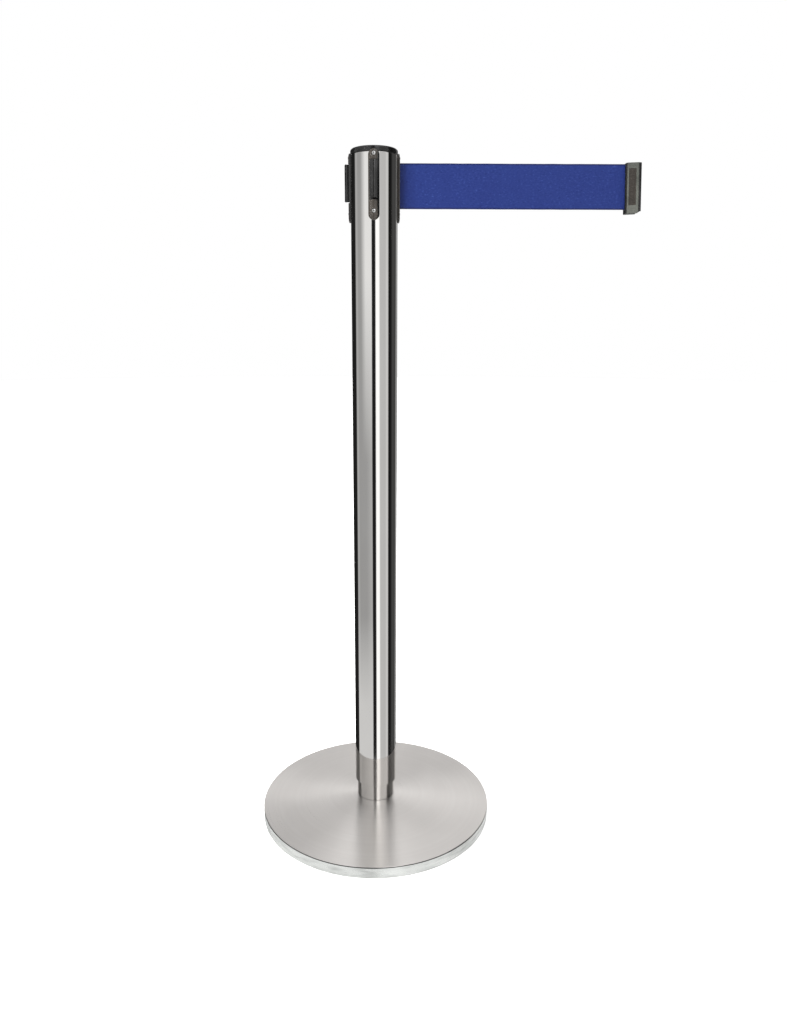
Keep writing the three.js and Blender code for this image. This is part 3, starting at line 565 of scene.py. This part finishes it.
def make_pole():
    """The tube, open at both ends, with the belt's slot on +X and a key slot on each other side."""
    slots = [(turn, *(BELT_SLOT if turn == 0 else KEY_SLOT)) for turn in HEAD_TURNS.values()]
    edges = []
    for centre, half, _, _ in slots:
        reach = math.degrees(math.asin(half / POLE_RADIUS))
        edges += [(centre - reach) % 360, (centre + reach) % 360]
    plain = [a for a in range(0, 360, 2) if all(abs((a - e + 180) % 360 - 180) > 0.7 for e in edges)]
    angles = sorted(plain + edges)
    rows = pole_rows()
    bm = bmesh.new()

    def grid(radius_of):
        made = []
        for z, r in rows:
            radius = radius_of(r)
            turns = [math.radians(a) for a in angles]
            made.append([bm.verts.new((radius * math.cos(a), radius * math.sin(a), z)) for a in turns])
        return made

    outside, inside = grid(lambda r: r), grid(lambda r: POLE_BORE)
    count = len(angles)

    def is_open(row, column):
        if not 0 <= row < len(rows) - 1:
            return True
        z = (rows[row][0] + rows[row + 1][0]) / 2
        first, last = angles[column % count], angles[(column + 1) % count]
        middle = (first + ((last - first) % 360) / 2) % 360
        for centre, half, low, high in slots:
            reach = math.degrees(math.asin(half / POLE_RADIUS))
            if abs((middle - centre + 180) % 360 - 180) < reach and low < z < high:
                return True
        return False

    for row in range(len(rows) - 1):
        for column in range(count):
            if is_open(row, column):
                continue
            after = (column + 1) % count
            corners = [(row, column), (row, after), (row + 1, after), (row + 1, column)]
            bm.faces.new([outside[r][c] for r, c in corners])
            bm.faces.new([inside[r][c] for r, c in reversed(corners)])
            beside = [(row - 1, column), (row, column + 1), (row + 1, column), (row, column - 1)]
            for side, (r, c) in enumerate(beside):
                if is_open(r, c):
                    (r0, c0), (r1, c1) = corners[side], corners[(side + 1) % 4]
                    bm.faces.new([outside[r0][c0], inside[r0][c0], inside[r1][c1], outside[r1][c1]])
    place(new_object("post_tube", bm), "root", MIRROR, "mirror_steel", "pole_tube")


def make_cap():
    """The domed plastic cap, with its skirt inside the tube and a shallow moulded ring on top."""
    bore, skirt = 26.8 * MM, POLE_BORE - 0.4 * MM
    bottom, ledge, top = cap_low.z, cap_high.z - 6.7 * MM, cap_high.z
    corners = [
        (0, top - 3.5 * MM, 0), (bore, top - 3.5 * MM, 0.4 * MM),
        (bore, bottom, 0), (skirt, bottom, 0.3 * MM),
        (skirt, ledge, 0), (CAP_RADIUS, ledge, 0.25 * MM), (CAP_RADIUS, top + 0.1 * MM, 2.4 * MM),
        (21 * MM, top + 0.5 * MM, 0.5 * MM), (20.4 * MM, top + 0.15 * MM, 0.3 * MM),
        (19.8 * MM, top + 0.5 * MM, 0.5 * MM), (0, top + 0.7 * MM, 0),
    ]
    cap = lathe("head_cap", filleted(corners, 6), 160)
    place(cap, "root", BLACK, "black_plastic", "top_cap")


# ---------- head plates ----------
def stadium(inset, count=16):
    """The plate's outline in (across, height), moved in by inset: straight sides with round ends."""
    radius = max(PLATE_HALF_WIDTH - inset, 0)
    upper, lower = PLATE_TOP - PLATE_HALF_WIDTH, PLATE_BOTTOM + PLATE_HALF_WIDTH
    points = []
    for i in range(count + 1):
        angle = math.pi * i / count
        points.append((radius * math.cos(angle), upper + radius * math.sin(angle)))
    for i in range(1, 12):
        points.append((-radius, upper + (lower - upper) * i / 12))
    for i in range(count + 1):
        angle = math.pi + math.pi * i / count
        points.append((radius * math.cos(angle), lower + radius * math.sin(angle)))
    for i in range(1, 12):
        points.append((radius, lower + (upper - lower) * i / 12))
    return points


def crown(across):
    """How far out the plate's face stands at this distance from its middle line."""
    bend = 11 * MM
    return PLATE_FACE - bend + math.sqrt(max(bend * bend - across * across, 0))


def plate_blank(name):
    """A crowned bar with round ends and a rolled edge, hollowed to sit on the tube."""
    edge = 0.9 * MM
    insets = [inset * MM for inset in (0, 0.12, 0.35, 0.9, 2, 3.4, 4.9, 6.2)]
    insets.append(PLATE_HALF_WIDTH - 0.02 * MM)
    back_radius = POLE_RADIUS + 0.3 * MM
    bm = bmesh.new()
    rings = []
    back = stadium(0)
    rings.append([bm.verts.new((math.sqrt(back_radius ** 2 - y * y), y, z)) for y, z in back])
    for inset in insets:
        drop = edge - math.sqrt(max(edge ** 2 - max(edge - inset, 0) ** 2, 0))
        end_drop = 0.9 * MM
        row = []
        for y, z in stadium(inset):
            from_end = min(z - PLATE_BOTTOM, PLATE_TOP - z)
            taper = end_drop * max(1 - from_end / (7 * MM), 0) ** 2
            row.append(bm.verts.new((crown(y) - drop * 0.8 - taper, y, z)))
        rings.append(row)
    count = len(back)
    for low, high in zip(rings, rings[1:]):
        for i in range(count):
            j = (i + 1) % count
            bm.faces.new((low[i], low[j], high[j], high[i]))
    bm.faces.new(rings[-1])
    bm.faces.new(list(reversed(rings[0])))
    bmesh.ops.triangulate(bm, faces=[f for f in bm.faces if len(f.verts) > 4])
    return new_object(name, bm)


def screw_seats(name):
    seats = []
    for level, z in SCREW_HEIGHTS.items():
        seats.append(drum(name + level, 2.85 * MM, SEAT_DEPTH - 0.3 * MM, CUT_REACH, "X", 32, (0, z)))
        seats.append(drum(name + level + "_hole", 1.6 * MM, 20 * MM, CUT_REACH, "X", 20, (0, z)))
    return seats


def rail(name):
    """The receiver's T-shaped rail: a web, and a wider flange with a crowned face and eased ends."""
    half, low, high = RAIL
    root, neck = POCKET_FLOOR - 0.3 * MM, RAIL_FACE - RAIL_DEPTH
    face = []
    for i in range(9):
        across = half * (1 - i / 4)
        face.append((RAIL_FACE - RAIL_CROWN * (across / half) ** 2, across))
    left = [(root, RAIL_WEB), (neck, RAIL_WEB), (neck, half)]
    plan = [*left, *face, *[(x, -y) for x, y in reversed(left)]]
    levels = [(low, 0.4 * MM), (low + 0.15 * MM, 0.12 * MM), (low + 0.5 * MM, 0),
              (high - 0.9 * MM, 0), (high - 0.3 * MM, 0.25 * MM), (high, 0.7 * MM)]
    bm = bmesh.new()
    rings = []
    for z, shrink in levels:
        ring = []
        for x, y in plan:
            side = y * (1 - shrink / half) if abs(y) > RAIL_WEB or x > neck else y
            ring.append(bm.verts.new((x - (shrink if x > neck else 0), side, z)))
        rings.append(ring)
    for lower, upper in zip(rings, rings[1:]):
        for i in range(len(plan)):
            j = (i + 1) % len(plan)
            bm.faces.new((lower[i], lower[j], upper[j], upper[i]))
    bm.faces.new(list(reversed(rings[0])))
    bm.faces.new(rings[-1])
    return new_object(name, bm)


def upright_block(name, reach, section):
    """A block from one distance out to another, with a (half width, bottom, top) section."""
    half, low, high = section
    return block(name, (reach[0], -half, low), (reach[1], half, high))


def make_receiver(side, turn):
    """A receiver: the pocket with its rail, and the ledge along one edge, take the black finish as painted
    shade, darker than the rubbed plate.
    """
    plate = plate_blank("receiver_plate_" + side)
    pocket = upright_block("pocket", (POCKET_FLOOR, CUT_REACH), POCKET)
    ledge_low = (LEDGE_FLOOR, LEDGE_START, PLATE_BOTTOM - 5 * MM)
    ledge = block("ledge", ledge_low, (CUT_REACH, 10 * MM, PLATE_TOP + 5 * MM))
    combine(plate, [pocket, ledge, *screw_seats("seat_")])
    combine(plate, [rail("rail_" + side)], "UNION")
    soften(plate, 0.16 * MM)
    plate.data.materials.clear()
    # Faces in the pocket round the rail, on the rail and on the ledge get the black finish: painted shade.
    painted_shade = []
    for face in plate.data.polygons:
        _, y, z = face.center
        on_rail = abs(y) < POCKET[0] and POCKET[1] < z < POCKET[2]
        painted_shade.append(on_rail or y > LEDGE_START - 0.1 * MM)
    turn_about_pole(plate, turn)
    place(plate, "root", PLATE, "black_plastic", "receiver_" + side)
    plate.data.materials.append(BLACK)
    # The painted shade: the black finish on the pocket, the rail and the ledge.
    for face, in_painted_shade in zip(plate.data.polygons, painted_shade):
        face.material_index = int(in_painted_shade)


def make_outlet():
    """The outlet plate: a slot with rounded lips and a mouthpiece that lines the slot in the tube."""
    plate = plate_blank("outlet_mouth")
    lining = upright_block("lining", (MOUTH_REACH, POLE_RADIUS + 1 * MM), MOUTH)
    combine(plate, [lining], "UNION")
    slot = upright_block("slot", (MOUTH_REACH - 5 * MM, CUT_REACH), OUTLET_SLOT)
    combine(plate, [slot, *screw_seats("seat_")])
    soften(plate, 0.22 * MM)
    place(plate, "root", PLATE, "black_plastic", "outlet_plate")


def make_screw(side, level, turn):
    """A pan-head screw with a cross recess; its shank holds the plate to the tube."""
    node = f"plate_screw_{side}_{level}"
    z = SCREW_HEIGHTS[level]
    low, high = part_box(f"plate_screw_outlet_{level}")
    head, shank = 2.4 * MM, 1.3 * MM
    outline = filleted([
        (0, 0, 0), (head, 0, 0.1 * MM), (head, 0.75 * MM, 0.35 * MM),
        (head - 0.9 * MM, 1.35 * MM, 0.5 * MM), (0, 1.5 * MM, 0),
    ], 5)
    screw = lathe(f"screw_{side}_{level}", outline, 40)
    bars = [
        block("bar", (-1.35 * MM, -0.28 * MM, 0.7 * MM), (1.35 * MM, 0.28 * MM, 3 * MM)),
        block("bar", (-0.28 * MM, -1.35 * MM, 0.7 * MM), (0.28 * MM, 1.35 * MM, 3 * MM)),
    ]
    combine(screw, bars)
    turn_in = {"outlet": 20, "back": 65, "left": 40, "front": 28}[side] + (17 if level == "upper" else 0)
    screw.data.transform(Matrix.Rotation(math.radians(turn_in), 4, "Z"))
    screw.data.transform(Matrix.Translation((SEAT_DEPTH, 0, z)) @ Matrix.Rotation(math.pi / 2, 4, "Y"))
    stem = drum("stem", shank, low.x, SEAT_DEPTH + 0.3 * MM, "X", 20, (0, z))
    combine(screw, [stem], "UNION")
    turn_about_pole(screw, turn)
    place(screw, "root", SCREW, "screw_steel", node)


def make_head_plates():
    make_outlet()
    for side, turn in HEAD_TURNS.items():
        if side != "outlet":
            make_receiver(side, turn)
        for level in SCREW_HEIGHTS:
            make_screw(side, level, turn)


# ---------- belt ----------
BELT_START = 20.6 * MM  # the belt's inner end, out of sight in the head
CLIP_GRIP = 5.5 * MM  # how much of the belt is inside the clip
BELT_EASE = 60 * MM  # the belt is flat at its ends and grows wavy over this length


def belt_section():
    """(thickness side, height) points round the belt's section, front face first, with beaded edges."""
    half, steps = 0.3 * MM, 26
    heights = [BELT_BOTTOM + (BELT_TOP - BELT_BOTTOM) * i / steps for i in range(steps + 1)]
    face = []
    for z in heights:
        from_edge = min(z - BELT_BOTTOM, BELT_TOP - z)
        bead = 0.08 * MM * math.exp(-((from_edge - 1.1 * MM) / (0.9 * MM)) ** 2)
        roll = 0.16 * MM if from_edge < 0.01 * MM else 0
        face.append((half + bead - roll, z))
    return [(-y, z) for y, z in face] + [(y, z) for y, z in reversed(face)]


def make_belt():
    """The webbing from inside the head to the clip, with the slight waviness of a taut strap."""
    section = belt_section()
    end = clip_low.x + CLIP_GRIP
    columns = 300
    bm = bmesh.new()
    rings = []
    for i in range(columns + 1):
        x = BELT_START + (end - BELT_START) * i / columns
        from_head, from_clip = x - 40 * MM, clip_low.x - 6 * MM - x
        free = min(max(from_head / BELT_EASE, 0), 1) * min(max(from_clip / BELT_EASE, 0), 1)
        ring = []
        for y, z in section:
            wave = noise.noise(Vector((x * 14, 0.3, z * 9))) * 0.5 * MM * free
            edge = noise.noise(Vector((x * 60, 7.1, math.copysign(1, z - BELT_MIDDLE)))) * 0.12 * MM * free
            share = (z - BELT_MIDDLE) / (BELT_TOP - BELT_MIDDLE)
            ring.append(bm.verts.new((x, y + wave, z + edge * share)))
        rings.append(ring)
    count = len(section)
    for a, b in zip(rings, rings[1:]):
        for i in range(count):
            j = (i + 1) % count
            bm.faces.new((a[i], b[i], b[j], a[j]))
    bm.faces.new(list(reversed(rings[0])))
    bm.faces.new(rings[-1])
    belt = new_object("belt_webbing", bm, 70)
    belt.data.materials.append(WEBBING)
    belt.visible_glossy = False
    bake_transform(belt)
    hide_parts("belt_strap")


# ---------- clip ----------
CLIP_LEAN = 2.5  # degrees that the clip hangs out of true on the soft belt


def hang(made):
    """Leans a piece of the clip about the middle of its pin, its foot away from the pole."""
    middle = Matrix.Translation((PIN_X, 0, BELT_MIDDLE))
    made.data.transform(middle @ Matrix.Rotation(math.radians(-CLIP_LEAN), 4, "Y") @ middle.inverted())


def clip_plan():
    """The clip from above: round corners at the back, bevelled ones at the front."""
    left, right, depth, radius = clip_low.x, clip_high.x, clip_high.y, CLIP_CORNER
    plan = []
    for x, y, start in ((right, depth, 0), (left, depth, 90)):
        centre = (x - math.copysign(radius, x - PIN_X), y - math.copysign(radius, y))
        for i in range(7):
            angle = math.radians(start + 15 * i)
            plan.append((centre[0] + radius * math.cos(angle), centre[1] + radius * math.sin(angle)))
    plan += [(left, -depth + 1.3 * MM), (left + 1.5 * MM, -depth)]
    return plan + [(right - CLIP_BEVEL[0], -depth), (right, -depth + CLIP_BEVEL[1])]


def clip_blank():
    """The clip's outline drawn up, with lightly broken ends."""
    ease = 0.5 * MM
    low, high = clip_low.z, clip_high.z
    levels = [(low, ease), (low + 0.15 * MM, 0.2 * MM), (low + ease, 0), (low + 2 * ease, 0),
              (high - 2 * ease, 0), (high - ease, 0), (high - 0.15 * MM, 0.2 * MM), (high, ease)]
    middle = (clip_low.x + clip_high.x) / 2
    half = ((clip_high.x - clip_low.x) / 2, clip_high.y)
    plan = clip_plan()
    bm = bmesh.new()
    rings = []
    for z, shrink in levels:
        wide, deep = (1 - shrink / h for h in half)
        rings.append([bm.verts.new((middle + (x - middle) * wide, y * deep, z)) for x, y in plan])
    for lower, upper in zip(rings, rings[1:]):
        for i in range(len(plan)):
            j = (i + 1) % len(plan)
            bm.faces.new((lower[i], lower[j], upper[j], upper[i]))
    bm.faces.new(list(reversed(rings[0])))
    bm.faces.new(rings[-1])
    return new_object("clip_shell", bm, 30)


def make_clip():
    """The belt's clip: a framed front, room for the belt's end, and a channel open at the foot."""
    left, right, depth, foot = clip_low.x, clip_high.x, clip_high.y, clip_low.z - 5 * MM
    beyond = 5 * MM
    clip = clip_blank()
    cuts = [
        block("step", (CLIP_STEP[0], -20 * MM, foot), (right + beyond, 20 * MM, CLIP_STEP[1])),
        block("channel", (CHANNEL_X[0], -CHANNEL_HALF_WIDTH, foot),
              (CHANNEL_X[1], CHANNEL_HALF_WIDTH, CHANNEL_TOP)),
        block("mouth", (CHANNEL_X[1] - 1 * MM, -CHANNEL_MOUTH, foot),
              (right + beyond, CHANNEL_MOUTH, CHANNEL_TOP)),
        block("panel", (PANEL_X[0], -depth - beyond, PANEL_Z[0]),
              (PANEL_X[1], -depth + PANEL_DEPTH, PANEL_Z[1])),
        block("room", (ROOM_X[0], -ROOM_FRONT, ROOM_Z[0]), (ROOM_X[1], depth + beyond, ROOM_Z[1])),
        block("slit", (left - beyond, -BELT_SLIT, ROOM_Z[0]), (ROOM_X[0] + 1 * MM, BELT_SLIT, ROOM_Z[1])),
        block("rebate", (BACK_X[0], depth - BACK_DEPTH, BACK_Z[0]), (BACK_X[1], depth + beyond, BACK_Z[1])),
        drum("screw_hole", 1.2 * MM, -2 * MM, depth, "Y", 24, (PIN_X, CLIP_SCREW_Z)),
    ]
    combine(clip, cuts)
    soften(clip, 0.2 * MM)
    combine(clip, panel_ribs(), "UNION")
    place(clip, "belt_end", CLIP, "clip_plastic", "clip_body")
    clip.data.materials.append(CLIP_PANEL)
    clip.data.materials.append(BLACK)
    for face in clip.data.polygons:
        x, y, z = face.center
        inside = PANEL_X[0] < x < PANEL_X[1] and PANEL_Z[0] < z < PANEL_Z[1]
        if inside and -depth + 0.2 * MM < y < -depth + PANEL_DEPTH + 0.1 * MM:
            face.material_index = 1
        # Faces turned to the sides, along the left edge and on the wide right bevel, get the black finish:
        # painted shade on the clip's sides.
        elif abs(face.normal.x) > 0.4 and not left + 1.6 * MM < x < right - CLIP_BEVEL[0]:
            face.material_index = 2
    hang(clip)


def panel_ribs():
    """Low finger ribs across the clip's front panel."""
    depth = clip_high.y
    count, height = 9, 1.5 * MM
    pitch = (PANEL_Z[1] - PANEL_Z[0] - 7 * MM) / (count - 1)
    ribs = []
    for i in range(count):
        z = PANEL_Z[0] + 3.5 * MM + i * pitch - height / 2
        low = (PANEL_X[0] + 1.6 * MM, -depth + 0.4 * MM, z)
        ribs.append(block("rib", low, (PANEL_X[1] - 1.6 * MM, -depth + 1.2 * MM, z + height), 0.2 * MM))
    return ribs


def make_clip_back():
    """The clip's back plate, with finger grooves and a seat for its screw."""
    low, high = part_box("clip_back")
    plate = block("clip_back_plate", low, high, 0.3 * MM, 3)
    cuts = [drum("seat", 2.1 * MM, high.y - 1.1 * MM, high.y + 3 * MM, "Y", 32, (PIN_X, CLIP_SCREW_Z)),
            drum("hole", 1.2 * MM, low.y - 3 * MM, high.y + 3 * MM, "Y", 24, (PIN_X, CLIP_SCREW_Z))]
    for i in range(6):
        z = low.z + 16.5 * MM + i * 5.6 * MM
        groove_low = (low.x + 3 * MM, high.y - 0.35 * MM, z)
        cuts.append(block("groove", groove_low, (high.x - 3 * MM, high.y + 2 * MM, z + 1.2 * MM)))
    combine(plate, cuts)
    place(plate, "belt_end", CLIP, "clip_plastic", "clip_back")
    hang(plate)


def make_clip_screw():
    low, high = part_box("clip_screw")
    head = 1.7 * MM
    outline = filleted([(0, 0, 0), (head, 0, 0.1 * MM), (head, 0.8 * MM, 0.25 * MM), (0, 0.8 * MM, 0)], 4)
    screw = lathe("clip_back_screw", outline, 32)
    bars = [
        block("bar", (-1 * MM, -0.2 * MM, 0.3 * MM), (1 * MM, 0.2 * MM, 2 * MM)),
        block("bar", (-0.2 * MM, -1 * MM, 0.3 * MM), (0.2 * MM, 1 * MM, 2 * MM)),
    ]
    combine(screw, bars)
    shank = drum("shank", 0.9 * MM, low.y - high.y + 0.8 * MM, 0.2 * MM, "Z", 20)
    combine(screw, [shank], "UNION")
    centre = (low + high) / 2
    facing_back = Matrix.Rotation(-math.pi / 2, 4, "X")
    screw.data.transform(Matrix.Translation((centre.x, high.y - 0.8 * MM, centre.z)) @ facing_back)
    place(screw, "belt_end", ZINC, "zinc", "clip_screw")
    hang(screw)


# ---------- stage ----------
CAMERA_PLACE = Vector((0.015, -1.0773, 0.691))
CAMERA_DOWN, CAMERA_RIGHT, CAMERA_ROLL = 12.55, 0.52, -0.12
CAMERA_LENS = 28.18


def make_camera():
    data = bpy.data.cameras.new("camera")
    data.lens = CAMERA_LENS
    data.sensor_width = 36
    camera = bpy.data.objects.new("camera", data)
    bpy.context.scene.collection.objects.link(camera)
    camera.location = CAMERA_PLACE
    camera.rotation_euler = [math.radians(a) for a in (90 - CAMERA_DOWN, CAMERA_ROLL, -CAMERA_RIGHT)]
    bpy.context.scene.camera = camera


def make_floor():
    """A wide floor of bright, evenly lit paper."""
    bm = bmesh.new()
    bmesh.ops.create_circle(bm, cap_ends=True, segments=96, radius=14)
    floor = new_object("floor", bm)
    paper = new_material("floor_paper")
    mottle = paper.noise(paper.place(), 3, 4)
    paper.set(Base_Color=paper.blend(mottle, grey(0.86), grey(0.88)), Roughness=0.9, Specular_IOR_Level=0.1)
    paper.set(Emission_Color=grey(1.0), Emission_Strength=0.6)
    floor.data.materials.append(paper.owner)
    floor.visible_glossy = False
    floor.location.z = -0.0002
    return floor


def make_backdrop():
    """A round white backdrop that only the camera sees, so it lights nothing."""
    bm = bmesh.new()
    radius, height, sides = 12, 12, 96
    low, high = [], []
    for i in range(sides):
        a = 2 * math.pi * i / sides
        low.append(bm.verts.new((radius * math.cos(a), radius * math.sin(a), -0.1)))
        high.append(bm.verts.new((radius * math.cos(a), radius * math.sin(a), height)))
    for i in range(sides):
        j = (i + 1) % sides
        bm.faces.new((low[i], low[j], high[j], high[i]))
    bm.faces.new(high)
    backdrop = new_object("backdrop", bm)
    glow = new_material("backdrop_white")
    glow.set(Base_Color=grey(0.0), Roughness=1.0, Emission_Color=grey(1.0), Emission_Strength=1.0)
    glow.set(Specular_IOR_Level=0.0)
    backdrop.data.materials.append(glow.owner)
    backdrop.visible_glossy = False
    backdrop.visible_diffuse = False
    backdrop.visible_shadow = False
    backdrop.visible_transmission = False
    return backdrop


# Panels and flags round the studio, as (bearing, brightness). The bearing is in degrees from the front, -Y,
# towards the right, +X. The polished tube shows them as upright bands.
PANELS = [
    (-180, 0.016), (-109, 0.016), (-104, 0.5), (-94, 0.52), (-88, 0.42), (-45, 0.43), (-28, 0.5),
    (-15, 0.56), (-12, 0.016), (4, 0.016), (8, 1.38), (23, 1.36), (28, 0.66), (57, 0.64), (62, 0.78),
    (72, 0.76), (76, 0.012), (88, 0.01), (96, 0.03), (104, 0.075), (136, 0.065), (141, 0.5),
    (150, 0.55), (158, 0.05), (180, 0.016),
]
BACK_WALL, CEILING, GROUND = 1.17, 1.3, 1.05
HIGH_GAIN = 2.0  # how much brighter the panels are high up, where the base mirrors them


def make_world():
    """Upright panels all round, a bright wall high at the back, the ceiling and the ground."""
    world = bpy.data.worlds.new("studio")
    bpy.context.scene.world = world
    n = Nodes(world)
    background = n.tree.nodes["Background"]
    direction = n.add("ShaderNodeTexCoord").outputs["Generated"]
    parts = n.add("ShaderNodeSeparateXYZ", {"Vector": direction})
    rise = n.math("MULTIPLY", n.math("ARCSINE", parts.outputs[2]), 180 / math.pi)
    turn = n.math("ARCTAN2", parts.outputs[0], n.math("MULTIPLY", parts.outputs[1], -1))
    bearing = n.math("MULTIPLY", turn, 180 / math.pi)
    ramp = n.add("ShaderNodeValToRGB", {"Fac": n.span(bearing, -180, 180, 0, 1)})
    stops = ramp.color_ramp.elements
    while len(stops) > 1:
        stops.remove(stops[-1])
    for i, (degrees, level) in enumerate(PANELS):
        stop = stops[0] if i == 0 else stops.new((degrees + 180) / 360)
        stop.position = (degrees + 180) / 360
        stop.color = grey(level)

    def paint(colour, level, *edges):
        """Paints a level over the part that lies on the far side of every (value, from, to) edge."""
        share = 1.0
        for value, start, end in edges:
            share = n.math("MULTIPLY", share, n.span(value, start, end, 0, 1))
        return n.blend(share, colour, grey(level))

    gain = n.span(rise, 20, 28, 1, HIGH_GAIN)
    scaled = n.add("ShaderNodeVectorMath", {"Vector": ramp.outputs[0], "Scale": gain}, operation="SCALE")
    colour = scaled.outputs[0]
    left_side = [(bearing, -109, -103), (bearing, -12, -15)]
    behind = (n.math("ABSOLUTE", bearing), 140, 150)
    flag = [(bearing, -165, -157), (bearing, -104, -116), (rise, 22, 28), (rise, 60, 52)]
    colour = paint(colour, 1.02, *left_side, (bearing, -70, -45), (rise, -9, 4), (rise, 24, 18))
    colour = paint(colour, 0.8, *left_side, (rise, -20, -26))
    colour = paint(colour, BACK_WALL, behind, (rise, 14, 20))
    colour = paint(colour, 0.15, *flag)  # the base mirrors it as a darker band at the left
    colour = paint(colour, CEILING, (rise, 68, 78))
    colour = paint(colour, GROUND, (rise, -29.5, -31))
    n.feed(background.inputs["Color"], colour)
    background.inputs["Strength"].default_value = 1.0


def add_lamp(name, place_at, aim, size, power, colour=(1, 1, 1)):
    data = bpy.data.lights.new(name, "AREA")
    data.shape = "RECTANGLE"
    data.size, data.size_y = size
    data.energy = power
    data.color = colour
    lamp = bpy.data.objects.new(name, data)
    bpy.context.scene.collection.objects.link(lamp)
    lamp.location = place_at
    lamp.rotation_euler = (Vector(aim) - Vector(place_at)).to_track_quat("-Z", "Y").to_euler()
    lamp.visible_glossy = False
    return lamp


def make_lights():
    """Strong soft light from the left front, and a little from above and behind."""
    add_lamp("key", (-1.75, -1.75, 1.5), (0, 0, 0.6), (0.9, 1.6), 155, (1.0, 0.985, 0.96))
    add_lamp("top", (0, -0.2, 2.6), (0, 0, 0), (2.2, 2.2), 14)
    add_lamp("back", (0.8, 2.2, 1.6), (0, 0, 0.6), (1.2, 1.6), 16)


make_camera()
paint_cad_nodes()
make_base_cover()
make_collar()
make_pole()
make_cap()
make_head_plates()
make_belt()
make_clip()
make_clip_back()
make_clip_screw()
make_floor()
make_backdrop()
make_world()
make_lights()
bpy.context.scene.view_settings.view_transform = "Standard"
